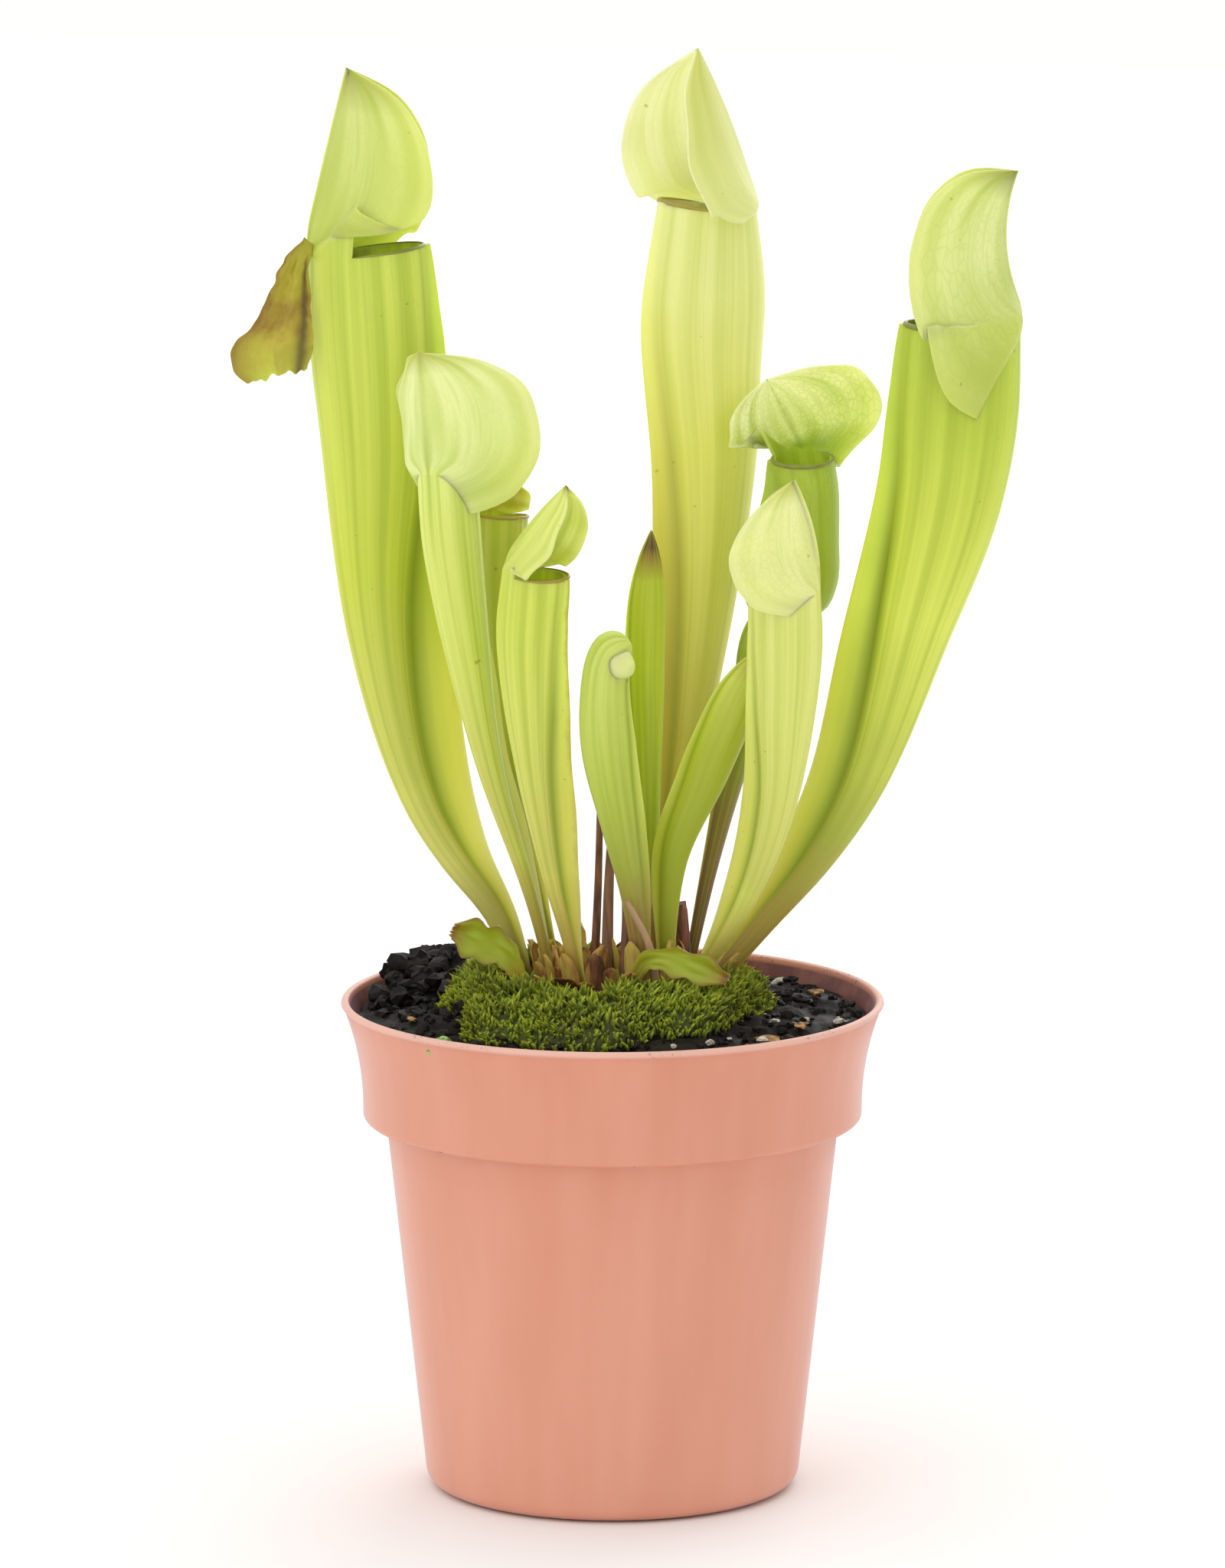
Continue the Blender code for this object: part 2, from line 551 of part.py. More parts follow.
def pot_profile():
    """Half the pot's section as (radius, height), from the underside up the outside and down the inside."""
    ledge = POT_HEIGHT - COLLAR_HEIGHT
    outside = arc((body_radius(BASE_CORNER) - BASE_CORNER, BASE_CORNER), BASE_CORNER, -90, -7, 3)
    outside += [(body_radius(h), h) for h in (0.5 * ledge, ledge)]
    outside += arc((COLLAR_RADIUS - COLLAR_CORNER, ledge + COLLAR_CORNER), COLLAR_CORNER, -90, 0, 2)
    outside += [(collar_radius(d), POT_HEIGHT - d) for d in COLLAR_DEPTHS]
    bead_centre = (RIM_RADIUS - RIM_BEAD, POT_HEIGHT - RIM_BEAD)
    outside += arc(bead_centre, RIM_BEAD, 0, 180, 4)
    inside = [(collar_radius(d) - POT_WALL, POT_HEIGHT - d) for d in reversed(COLLAR_DEPTHS)]
    inside.append((COLLAR_RADIUS - POT_WALL, ledge + POT_WALL + GAP))
    inside.append((body_radius(ledge) - POT_WALL, ledge + POT_WALL))
    inside.append((body_radius(POT_FLOOR + FLOOR_FILLET) - POT_WALL, POT_FLOOR + FLOOR_FILLET))
    inside.append((body_radius(POT_FLOOR) - POT_WALL - FLOOR_FILLET, POT_FLOOR))
    return outside + inside


def pot(finish):
    """A thin injection-moulded pot with a flared collar and drain holes in its floor."""
    shape = bmesh.new()
    chain = [shape.verts.new((r * MM, 0.0, h * MM)) for r, h in pot_profile()]
    edges = [shape.edges.new(pair) for pair in zip(chain, chain[1:])]
    bmesh.ops.spin(
        shape,
        geom=chain + edges,
        cent=(0, 0, 0),
        axis=(0, 0, 1),
        angle=2 * math.pi,
        steps=POT_SIDES,
        use_merge=True,
    )
    bmesh.ops.remove_doubles(shape, verts=shape.verts, dist=1e-7)
    bmesh.ops.holes_fill(shape, edges=[e for e in shape.edges if e.is_boundary], sides=POT_SIDES)
    bmesh.ops.recalc_face_normals(shape, faces=shape.faces)
    mesh = bpy.data.meshes.new("pot")
    shape.to_mesh(mesh)
    shape.free()
    mesh.materials.append(finish)
    mesh.shade_smooth()
    mesh.set_sharp_from_angle(angle=math.radians(40.0))
    thing = bpy.data.objects.new("pot", mesh)
    bpy.context.scene.collection.objects.link(thing)
    cutters = []
    for k in range(DRAIN_HOLES):
        turn = 2 * math.pi * (k + 0.5) / DRAIN_HOLES
        place = Vector((math.cos(turn), math.sin(turn), 0.0)) * DRAIN_CIRCLE_RADIUS * MM
        bpy.ops.mesh.primitive_cylinder_add(
            vertices=12, radius=DRAIN_HOLE_DIAMETER / 2 * MM, depth=3 * POT_FLOOR * MM, location=place
        )
        cutters.append(bpy.context.object)
    cut(thing, cutters)
    remove(cutters)
    return thing


def ground_height(x, y):
    """The height of the peat: a dome, heaped up at the back left, with coarse lumps."""
    share = min(math.hypot(x, y) / RIM_RADIUS, 1.0)
    dome = SOIL_EDGE_HEIGHT + SOIL_DOME * (1 - share**2)
    away = math.hypot(x - PEAT_HEAP_CENTRE[0], y - PEAT_HEAP_CENTRE[1]) / PEAT_HEAP_RADIUS
    heap = PEAT_HEAP_HEIGHT * math.exp(-(away**2)) * (1 - share**6)
    lumps = SOIL_LUMP * noise.noise(Vector((x, y, 3.0)) * 0.22) * (1 - share**4)
    return dome + heap + lumps


def soil(finish, sides=POT_SIDES):
    """The peat that fills the pot, a little clear of its walls and floor."""
    ledge = POT_HEIGHT - COLLAR_HEIGHT
    floor = POT_FLOOR + GAP
    clear = POT_WALL + GAP
    turns = [2 * math.pi * k / sides for k in range(sides)]
    levels = [
        (body_radius(floor) - clear - FLOOR_FILLET, floor),
        (body_radius(floor + FLOOR_FILLET) - clear, floor + FLOOR_FILLET),
        (body_radius(ledge) - clear, ledge),
        (body_radius(ledge) - clear, ledge + clear),
        (COLLAR_RADIUS - clear - GAP, ledge + clear + 3 * GAP),
        (COLLAR_RADIUS - clear, ledge + clear + SHELF_FILLET),
    ]
    levels += [(collar_radius(d) - clear, POT_HEIGHT - d) for d in COLLAR_DEPTHS[:2]]
    rings = [[(r * math.cos(t), r * math.sin(t), h) for t in turns] for r, h in levels]
    edge = collar_radius(POT_HEIGHT - SOIL_EDGE_HEIGHT) - clear
    for share in (1.0, 0.91, 0.8, 0.68, 0.56, 0.4, 0.2):
        ring = [(edge * share * math.cos(t), edge * share * math.sin(t)) for t in turns]
        rings.append([(x, y, ground_height(x, y)) for x, y in ring])
    return add_object("soil", *lofted(rings, end_point=(0.0, 0.0, ground_height(0.0, 0.0))), finish, 25.0)


def crown_rings(grow, sides=20, levels=8):
    """Rings up the knobbly crown that the leaves grow from."""
    rings = []
    for level in range(1, levels):
        tilt = math.pi * (level / levels - 0.5)
        ring = []
        for k in range(sides):
            turn = 2 * math.pi * k / sides
            way = Vector((math.cos(turn) * math.cos(tilt), math.sin(turn) * math.cos(tilt), math.sin(tilt)))
            knob = 0.0 if grow else CROWN_KNOB * noise.noise(way * 4.0)
            size = [h + grow + knob for h in CROWN_HALF_SIZE]
            ring.append(tuple(c + s * w for c, s, w in zip(CROWN_CENTRE, size, way)))
        rings.append(ring)
    return rings


def crown(finish):
    """The crown, a knobbly piece of rhizome."""
    top = (CROWN_CENTRE[0], CROWN_CENTRE[1], CROWN_CENTRE[2] + CROWN_HALF_SIZE[2])
    return add_object("crown", *lofted(crown_rings(0.0), end_point=top), finish)


def crown_cutter(name):
    """The room that the crown needs in the soil and the moss."""
    grow = GAP + 0.7 * CROWN_KNOB
    top = (CROWN_CENTRE[0], CROWN_CENTRE[1], CROWN_CENTRE[2] + CROWN_HALF_SIZE[2] + grow)
    return add_cutter(name, *lofted(crown_rings(grow), end_point=top))


def moss_height(x, y, inside):
    """How thick the moss is: a tufted mound, thin at its edge. inside is 0 at the edge and 1 well in."""
    tufts = math.cos(2 * math.pi * x / MOSS_TUFT_SPACING) * math.cos(2 * math.pi * y / MOSS_TUFT_SPACING)
    wander = noise.noise(Vector((x, y, 9.0)) * 0.13)
    rise = MOSS_THICKNESS * (1 + 0.35 * wander) + MOSS_TUFT * tufts * 0.5
    return MOSS_EDGE_THICKNESS + rise * math.sqrt(inside)


def moss(finish, sides=56):
    """The moss, a ring round the crown that lies on the peat."""
    bare = (CROWN_HALF_SIZE[0] - 1.5, CROWN_HALF_SIZE[1] - 0.5)
    shares = (0.0, 0.12, 0.28, 0.44, 0.6, 0.76, 0.9, 1.0)
    rings = []

    def place(turn, share):
        waves = [size * math.sin(count * turn + math.radians(start)) for count, size, start in MOSS_LOBES]
        lobes = 1 + sum(waves)
        inner = (CROWN_CENTRE[0] + bare[0] * math.cos(turn), CROWN_CENTRE[1] + bare[1] * math.sin(turn))
        outer = (
            MOSS_CENTRE[0] + MOSS_HALF_SIZE[0] * lobes * math.cos(turn),
            MOSS_CENTRE[1] + MOSS_HALF_SIZE[1] * lobes * math.sin(turn),
        )
        return tuple(a + (b - a) * share for a, b in zip(inner, outer))

    turns = [2 * math.pi * k / sides for k in range(sides)]
    for share in shares:
        ring = [place(t, share) for t in turns]
        rings.append([(x, y, ground_height(x, y) + MOSS_LIFT) for x, y in ring])
    for share in reversed(shares):
        ring = [place(t, share) for t in turns]
        inside = min(1.0, 4 * (1 - share)) * (0.25 + 0.75 * min(1.0, 5 * share + 0.4))
        rings.append([(x, y, ground_height(x, y) + MOSS_LIFT + moss_height(x, y, inside)) for x, y in ring])
    points = [p for ring in rings for p in ring]
    numbers = [list(range(i * sides, (i + 1) * sides)) for i in range(len(rings))]
    faces = []
    for lower, upper in zip(numbers, numbers[1:] + numbers[:1]):
        faces += ring_faces(upper, lower, flip=True)
    return add_object("moss", points, faces, finish, 30.0)


def withered_ear(finish):
    """The dried, turned-back ear of the tall left pitcher's lid: a thin crumpled sheet, widest low down."""
    route = Route(EAR_ROUTE)
    rings = []
    rows = 11
    for k in range(rows):
        share = k / (rows - 1)
        width = np.interp(share, np.linspace(0, 1, len(EAR_WIDTHS)), EAR_WIDTHS)
        up = route.way(share)
        out = np.cross(up, (0.0, 1.0, 0.0))
        out = out / np.linalg.norm(out)
        thick = np.cross(out, up)
        middle = route.point(share)
        crumple = EAR_CRUMPLE * math.sin(9 * share)
        corners = [(-width / 2, 0.0), (-width / 6, crumple), (width / 6, -crumple), (width / 2, 0.0)]
        front = [middle + out * a + thick * (b - EAR_THICKNESS / 2) for a, b in corners]
        back = [middle + out * a + thick * (b + EAR_THICKNESS / 2) for a, b in reversed(corners)]
        rings.append(front + back)
    return add_object("withered_ear", *lofted(rings), finish)


def join(target, extra):
    """One body from two that overlap."""
    step = target.modifiers.new("join", "BOOLEAN")
    step.operation = "UNION"
    step.object = extra
    step.solver = "MANIFOLD"
    apply_modifiers(target)
    remove([extra])


def main():
    remove_everything()
    plastic = material("terracotta_plastic", (222, 152, 126), 0.38)
    peat = material("peat", (38, 28, 24), 0.95)
    wood = material("crown_wood", (110, 70, 42), 0.85)
    moss_green = material("moss_green", (92, 140, 30), 0.9)
    leaf = material("pitcher_green", (190, 214, 88), 0.45)
    young = material("young_leaf_green", (150, 185, 60), 0.45)
    dry = material("withered_leaf", (140, 96, 50), 0.8)

    pot(plastic)
    ground = soil(peat)
    crown_room = crown_cutter("crown_room")
    cut(ground, [crown_room])
    remove([crown_room])

    cutters = []
    for name, spec in PITCHERS.items():
        pitcher(name, spec, leaf)
        cutters.append(socket_cutter("socket_" + name, spec["route"], spec, TUBE_PROFILE))
    for name, spec in BUDS.items():
        bud(name, spec, young)
        cutters.append(socket_cutter("socket_" + name, spec["route"], spec, BUD_PROFILE))
    for name, (route, foot_radius, top_radius) in STALKS.items():
        stalk(name, route, foot_radius, top_radius, dry)
        round_spec = {"facing": 0.0, "depth": 2.0, "side": 1.0, "wing": 0.0}
        profile = ((0.0, foot_radius), (1.0, top_radius))
        cutters.append(socket_cutter("socket_" + name, route, round_spec, profile))
    join(bpy.data.objects["pitcher_left_tall"], withered_ear(dry))
    cut(crown(wood), cutters)
    cut(moss(moss_green), cutters)
    remove(cutters)


main()
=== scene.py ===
# %% [markdown]
# # A potted pitcher plant
# The real thing is a clump of trumpet pitchers: leaves rolled into tubes, each with a hood over its mouth.
# They grow from a short crown in peat and moss, in a 9 cm plastic pot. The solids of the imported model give
# each piece its place and its size. This lesson dresses them: it rebuilds each leaf with many more points
# from the same route and widths, and gives every piece a finish made of shader nodes.

import math
import random

import bmesh
import bpy
import numpy as np
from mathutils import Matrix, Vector, geometry, noise


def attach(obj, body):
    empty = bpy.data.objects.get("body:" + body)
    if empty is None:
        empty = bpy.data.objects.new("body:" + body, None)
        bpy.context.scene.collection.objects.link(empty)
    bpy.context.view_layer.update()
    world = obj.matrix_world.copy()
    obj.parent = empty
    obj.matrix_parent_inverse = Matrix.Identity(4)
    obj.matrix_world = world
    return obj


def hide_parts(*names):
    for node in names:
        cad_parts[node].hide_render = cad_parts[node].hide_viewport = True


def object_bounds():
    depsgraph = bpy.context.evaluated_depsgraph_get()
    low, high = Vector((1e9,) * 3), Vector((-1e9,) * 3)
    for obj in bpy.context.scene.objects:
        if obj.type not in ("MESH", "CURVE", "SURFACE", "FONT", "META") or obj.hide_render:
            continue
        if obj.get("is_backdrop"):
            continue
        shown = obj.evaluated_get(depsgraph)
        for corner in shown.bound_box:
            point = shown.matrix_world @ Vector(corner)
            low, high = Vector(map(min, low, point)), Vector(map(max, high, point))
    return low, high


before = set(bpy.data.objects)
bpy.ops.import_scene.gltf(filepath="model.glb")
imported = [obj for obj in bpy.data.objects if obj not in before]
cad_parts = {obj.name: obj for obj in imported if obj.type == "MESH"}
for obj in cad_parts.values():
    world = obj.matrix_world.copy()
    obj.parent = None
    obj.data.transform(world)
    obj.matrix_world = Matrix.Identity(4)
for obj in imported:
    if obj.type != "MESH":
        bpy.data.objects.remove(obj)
cad_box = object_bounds()
MM = 0.001
print("solids in the model:", len(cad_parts))

# %% [markdown]
# ## Helpers
# Colours are written as sRGB hex, as a paint program shows them, and shaders want linear light, so one
# function converts them. A finish is a tree of nodes: one function adds a node, sets it and links it, and
# short ones built on it stand for the nodes that most finishes need, such as noise, a ramp of colours or a
# bump. The Shell collects points, faces and marks. A mark is a number on each point, such as how far along
# a leaf it lies, which a shader reads back to place its colours. Marks follow the leaf wherever it bends,
# which plain coordinates don't.


# %% Colours and nodes
def linear(colour):
    """The linear RGBA of an sRGB hex colour."""
    parts = [int(colour[k : k + 2], 16) / 255 for k in (0, 2, 4)]
    return (*[c / 12.92 if c <= 0.04045 else ((c + 0.055) / 1.055) ** 2.4 for c in parts], 1.0)


def add_node(tree, kind, settings=(), inputs=(), stops=()):
    """A node with its settings. An input that is given a socket is linked, and another value is set."""
    node = tree.nodes.new(kind)
    for name, value in dict(settings).items():
        setattr(node, name, value)
    for name, value in dict(inputs).items():
        if isinstance(value, bpy.types.NodeSocket):
            tree.links.new(value, node.inputs[name])
        else:
            node.inputs[name].default_value = value
    for k, (place, colour) in enumerate(stops):
        elements = node.color_ramp.elements
        stop = elements[k] if k < 2 else elements.new(place)
        stop.position = place
        stop.color = linear(colour)
    return node


def calculate(tree, operation, *values):
    """The result of a math node."""
    return add_node(tree, "ShaderNodeMath", {"operation": operation}, dict(enumerate(values))).outputs[0]


def remap(tree, value, low=0.0, high=1.0, bottom=0.0, top=1.0):
    """A value from low to high, moved to run from bottom to top and clamped."""
    ends = {"From Min": low, "From Max": high, "To Min": bottom, "To Max": top}
    return add_node(tree, "ShaderNodeMapRange", inputs={"Value": value, **ends}).outputs[0]


def blend(tree, share, under, over, kind="MIX"):
    """A colour laid over another by a share from 0 to 1."""
    settings = {"data_type": "RGBA", "blend_type": kind}
    return add_node(tree, "ShaderNodeMix", settings, {0: share, 6: under, 7: over}).outputs[2]


def cloud_of(tree, place, scale, detail, roughness=0.5):
    """Soft noise from 0 to 1. A scale of 100 has features of about 10 mm."""
    inputs = {"Vector": place, "Scale": scale, "Detail": detail, "Roughness": roughness}
    return add_node(tree, "ShaderNodeTexNoise", inputs=inputs).outputs["Fac"]


def position(tree):
    """Where each point of the surface is, in metres."""
    return add_node(tree, "ShaderNodeNewGeometry").outputs["Position"]


def read_mark(tree, name):
    """A mark that the mesh carries."""
    return add_node(tree, "ShaderNodeAttribute", {"attribute_name": name}).outputs["Fac"]


def stretched(tree, place, scale):
    """Coordinates times a number for each axis. A small one draws a pattern out along its axis."""
    return add_node(tree, "ShaderNodeMapping", inputs={"Vector": place, "Scale": scale}).outputs[0]


def ramp(tree, value, *stops):
    """The colour that a value has between stops, each a place and a colour."""
    return add_node(tree, "ShaderNodeValToRGB", inputs={"Fac": value}, stops=stops).outputs["Color"]


def emboss(tree, shader, height, strength, distance, invert=False):
    """Gives the shader's surface a bump, with its distance in metres."""
    inputs = {"Strength": strength, "Distance": distance, "Height": height}
    bump = add_node(tree, "ShaderNodeBump", {"invert": invert}, inputs)
    tree.links.new(bump.outputs[0], shader.inputs["Normal"])


def new_finish(name, colour, roughness, **more):
    """A material with a Principled shader: its tree and its shader come with it."""
    made = bpy.data.materials.new(name)
    made.use_nodes = True
    shader = made.node_tree.nodes["Principled BSDF"]
    shader.inputs["Base Color"].default_value = linear(colour)
    shader.inputs["Roughness"].default_value = roughness
    for socket, value in more.items():
        shader.inputs[socket.replace("_", " ")].default_value = value
    made.diffuse_color = linear(colour)
    return made, made.node_tree, shader


print("paper white in linear light:", round(linear("F4F2EE")[0], 3))


# %% Points, faces and marks
class Shell:
    """Collects grids of points in millimetres, with their marks, and the faces between them."""

    MARKS = ("along", "round", "edge", "dark", "inside", "tone")

    def __init__(self):
        self.points, self.faces, self.finishes = [], [], []
        self.marks = {name: [] for name in self.MARKS}
        self.count = 0

    def add(self, grid, **marks):
        """Adds points, and returns their numbers in the grid's own shape."""
        grid = np.asarray(grid, float)
        shape = grid.shape[:-1]
        self.points.append(grid.reshape(-1, 3))
        for name in self.MARKS:
            self.marks[name].append(np.broadcast_to(marks.get(name, 0.0), shape).reshape(-1))
        numbers = np.arange(self.count, self.count + self.points[-1].shape[0]).reshape(shape)
        self.count += numbers.size
        return numbers

    def quads(self, numbers, closed=False, finish=0):
        """Faces between the rows of a grid, which closed joins from its last column to its first."""
        if closed:
            numbers = np.concatenate([numbers, numbers[:, :1]], axis=1)
        a, b, c, d = numbers[:-1, :-1], numbers[:-1, 1:], numbers[1:, 1:], numbers[1:, :-1]
        made = np.stack([a, b, c, d], axis=-1).reshape(-1, 4)
        self.faces += made.tolist()
        self.finishes += [finish] * len(made)

    def fan(self, ring, apex, closed=True, finish=0):
        """Triangles from a ring to one point."""
        ring = list(map(int, ring))
        pairs = zip(ring, ring[1:] + ring[:1]) if closed else zip(ring, ring[1:])
        made = [[a, b, int(apex)] for a, b in pairs]
        self.faces += made
        self.finishes += [finish] * len(made)

    def join_borders(self, sheets, finish=0):
        """Faces between the borders of two sheets, which then enclose a thin body."""
        rings = [np.concatenate([s[0], s[1:, -1], s[-1, -2::-1], s[-2:0:-1, 0]]) for s in sheets]
        self.quads(np.stack([np.append(ring, ring[0]) for ring in rings]), finish=finish)

    def piece(self, name, finishes, slot, nodes=(), smooth_angle=60.0):
        """The object: it rides on the body, takes its finish and stands for its nodes."""
        mesh = bpy.data.meshes.new(name)
        mesh.from_pydata((np.concatenate(self.points) * MM).tolist(), [], self.faces)
        for finish in finishes:
            mesh.materials.append(finish)
        mesh.polygons.foreach_set("material_index", self.finishes)
        for mark in self.MARKS:
            values = np.concatenate(self.marks[mark])
            if values.any():
                mesh.attributes.new(mark, "FLOAT", "POINT").data.foreach_set("value", values)
        shape = bmesh.new()
        shape.from_mesh(mesh)
        bmesh.ops.recalc_face_normals(shape, faces=shape.faces)
        shape.to_mesh(mesh)
        shape.free()
        mesh.shade_smooth()
        mesh.set_sharp_from_angle(angle=math.radians(smooth_angle))
        thing = bpy.data.objects.new(name, mesh)
        bpy.context.scene.collection.objects.link(thing)
        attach(thing, "root")
        if nodes:
            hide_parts(*nodes)
        print(f"{name}: {len(self.faces)} faces")
        return thing


# %% [markdown]
# ## Camera, light and floor
# The photograph was taken with a long lens from a little above the rim, on white paper. A long lens keeps
# the pot's sides almost parallel. The paper is a wide pale floor, which fills the whole view because the
# camera looks down on it. White light from all round, a large soft lamp at the front left and one overhead
# give the flat, bright light of a packshot. The lamp behind shines through the thin leaves, so they glow.

# %% Camera
scene = bpy.context.scene
EYE = Vector((0.0, -1.764, 0.441))
AIM = Vector((0.0, 0.0, 0.118))
camera_data = bpy.data.cameras.new("camera")
camera_data.sensor_fit = "VERTICAL"
camera_data.sensor_height = 24.0
camera_data.lens = 166.2
camera_data.clip_start = 0.05
camera_data.clip_end = 60.0
camera = bpy.data.objects.new("camera", camera_data)
camera.location = EYE
camera.rotation_euler = (AIM - EYE).to_track_quat("-Z", "Y").to_euler()
scene.collection.objects.link(camera)
scene.camera = camera
print("camera's height above the pot's foot, mm:", round(EYE.z / MM))

# %% Floor and light
scene.view_settings.view_transform = "Standard"
world = bpy.data.worlds.new("white_room")
scene.world = world
world.use_nodes = True
world.node_tree.nodes["Background"].inputs["Color"].default_value = linear("FFFFFF")
world.node_tree.nodes["Background"].inputs["Strength"].default_value = 0.8

paper, tree, shader = new_finish("white_paper", "F7F6F4", 0.9)
grain = add_node(tree, "ShaderNodeTexNoise", inputs={"Scale": 3.0, "Detail": 2.0})
tint = ramp(tree, grain.outputs["Fac"], (0.3, "F5F4F2"), (0.7, "F9F8F7"))
tree.links.new(tint, shader.inputs["Base Color"])
bpy.ops.mesh.primitive_circle_add(vertices=96, radius=7.0, fill_type="NGON", location=(0, 0, -0.0002))
floor = bpy.context.object
floor.name = "paper_floor"
floor.data.materials.append(paper)
floor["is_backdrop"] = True

sky_data = bpy.data.lights.new("soft_overhead", "SUN")
sky_data.energy = 0.95
sky_data.angle = math.radians(100.0)
sky = bpy.data.objects.new("soft_overhead", sky_data)
sky.rotation_euler = (math.radians(-12.0), math.radians(-8.0), 0.0)
scene.collection.objects.link(sky)

LAMPS = {
    "front_left": ((-1.2, -1.5, 1.0), 1.3, 5.0),
    "behind": ((0.6, 1.4, 0.9), 1.2, 7.0),
}
for name, (place, size, power) in LAMPS.items():
    lamp_data = bpy.data.lights.new(name, "AREA")
    lamp_data.size = size
    lamp_data.energy = power
    lamp = bpy.data.objects.new(name, lamp_data)
    lamp.location = place
    lamp.rotation_euler = (AIM - Vector(place)).to_track_quat("-Z", "Y").to_euler()
    scene.collection.objects.link(lamp)
print("lamps:", ", ".join(["soft_overhead", *LAMPS]))

# %% [markdown]
# ## The pot
# A nursery pot is thin polypropylene, injection moulded and coloured right through in a pale terracotta. Its
# section is turned round the axis. A lathe, a Screw modifier or rings of points would all do it: rings of
# points keep every radius in one list, and the drain holes are then cut with cylinders. The collar stands
# out from the body and flares to a rounded lip, as on the solid.

# %% Pot shape
POT_HEIGHT, RIM_RADIUS, RIM_BEAD, FLARE_DEPTH = 82.0, 45.0, 0.7, 18.0
COLLAR_RADIUS, COLLAR_HEIGHT, COLLAR_CORNER = 41.4, 20.0, 1.0
BODY_TOP_RADIUS, BODY_BASE_RADIUS, BASE_CORNER = 37.6, 30.8, 3.0
POT_WALL, POT_FLOOR, FLOOR_FILLET, SHELF_FILLET, GAP = 1.1, 1.4, 2.0, 1.6, 0.3
LEDGE = POT_HEIGHT - COLLAR_HEIGHT


def collar_radius(depth):
    """The collar's outer radius at a depth below the rim: it flares to the lip."""
    return COLLAR_RADIUS + (RIM_RADIUS - COLLAR_RADIUS) * max(0.0, 1 - depth / FLARE_DEPTH) ** 2


def body_radius(height):
    """The pot body's outer radius at a height, below the collar."""
    return BODY_BASE_RADIUS + (BODY_TOP_RADIUS - BODY_BASE_RADIUS) * height / LEDGE


def arc(centre, radius, start, end, steps):
    """Points on an arc in the section's plane, angles in degrees."""
    turn = np.radians(np.linspace(start, end, steps + 1))
    return [(centre[0] + radius * math.cos(t), centre[1] + radius * math.sin(t)) for t in turn]


def pot_section():
    """The pot's section as (radius, height), from the underside up the outside and down the inside."""
    outside = [(12.0, 0.35), (24.0, 0.35), (26.5, 0.0)]
    outside += arc((body_radius(BASE_CORNER) - BASE_CORNER, BASE_CORNER), BASE_CORNER, -90, -7, 8)
    outside += [(body_radius(h), h) for h in np.linspace(6.0, LEDGE - 0.4, 14)]
    outside += [(body_radius(LEDGE) + 0.25, LEDGE - 0.05)]
    outside += arc((COLLAR_RADIUS - COLLAR_CORNER, LEDGE + COLLAR_CORNER), COLLAR_CORNER, -90, 0, 6)
    outside += [(collar_radius(d), POT_HEIGHT - d) for d in np.linspace(18.0, 1.2, 16)]
    outside += arc((RIM_RADIUS - RIM_BEAD, POT_HEIGHT - RIM_BEAD), RIM_BEAD, 0, 180, 10)
    inside = [(collar_radius(d) - POT_WALL, POT_HEIGHT - d) for d in np.linspace(1.2, 16.0, 12)]
    inside += arc((COLLAR_RADIUS - POT_WALL - SHELF_FILLET, LEDGE + POT_WALL + SHELF_FILLET),
                  SHELF_FILLET, 0, -90, 5)
    inside += [(body_radius(h) - POT_WALL, h) for h in np.linspace(LEDGE, POT_FLOOR + FLOOR_FILLET, 8)]
    inside += [(body_radius(POT_FLOOR) - POT_WALL - FLOOR_FILLET, POT_FLOOR), (12.0, POT_FLOOR)]
    return outside, inside


def ring_grid(section, sides):
    """Points of a section turned round the axis."""
    turn = 2 * np.pi * np.arange(sides) / sides
    return np.array([[(r * math.cos(t), r * math.sin(t), h) for t in turn] for r, h in section])


outside, inside = pot_section()
section = outside + inside
print("points in the pot's section:", len(section))

# %% [markdown]
# Polypropylene from a polished mould is smooth with a soft gloss (IOR 1.49, roughness near 0.35). At a
# grazing angle it mirrors the white room, so both edges of the pot look pale. The pigment makes long faint
# flow marks up the wall, and handling leaves peat dust at the rim and under the collar. The flow marks are
# about 8 mm wide and the dust specks about 0.5 mm. A light sheen with a cool tint is a painted reflection
# that makes the pot's sides paler. The inside of the rim is painted a dark red-brown as painted shade, and
# the worn lip is paler.

# %% Pot finish
polypropylene, tree, shader = new_finish("moulded_polypropylene", "DE9A80", 0.36, IOR=1.49)
shader.inputs["Subsurface Weight"].default_value = 0.08
shader.inputs["Subsurface Scale"].default_value = 0.002
place = position(tree)
xyz = add_node(tree, "ShaderNodeSeparateXYZ", inputs={0: place})
long_marks = stretched(tree, place, (1.0, 1.0, 0.12))
flow = cloud_of(tree, long_marks, 110.0, 3.0)
wall_tint = ramp(tree, flow, (0.3, "DB957B"), (0.7, "E29F86"))
height_shade = remap(tree, xyz.outputs["Z"], low=0.0, high=POT_HEIGHT * MM)
warm = blend(tree, height_shade, wall_tint, linear("FAF3F1"), "MULTIPLY")
# Dust: fine specks, only where peat falls: by the rim and just under the collar
specks = cloud_of(tree, place, 1500.0, 2.0)
patches = cloud_of(tree, place, 90.0, 3.0)
rim_near = remap(tree, xyz.outputs["Z"], low=0.0765, high=0.0815)
ledge_low = remap(tree, xyz.outputs["Z"], low=0.0555, high=0.0625)
ledge_top = calculate(tree, "LESS_THAN", xyz.outputs["Z"], 0.0624)
ledge_near = calculate(tree, "MULTIPLY", ledge_low, ledge_top)
where = calculate(tree, "MAXIMUM", rim_near, ledge_near)
loaded = calculate(tree, "MULTIPLY", where, patches)
speck_value = calculate(tree, "MULTIPLY", loaded, specks)
speck_mask = remap(tree, speck_value, low=0.36, high=0.42)
smudge_mask = remap(tree, loaded, low=0.35, high=0.8, top=0.3)
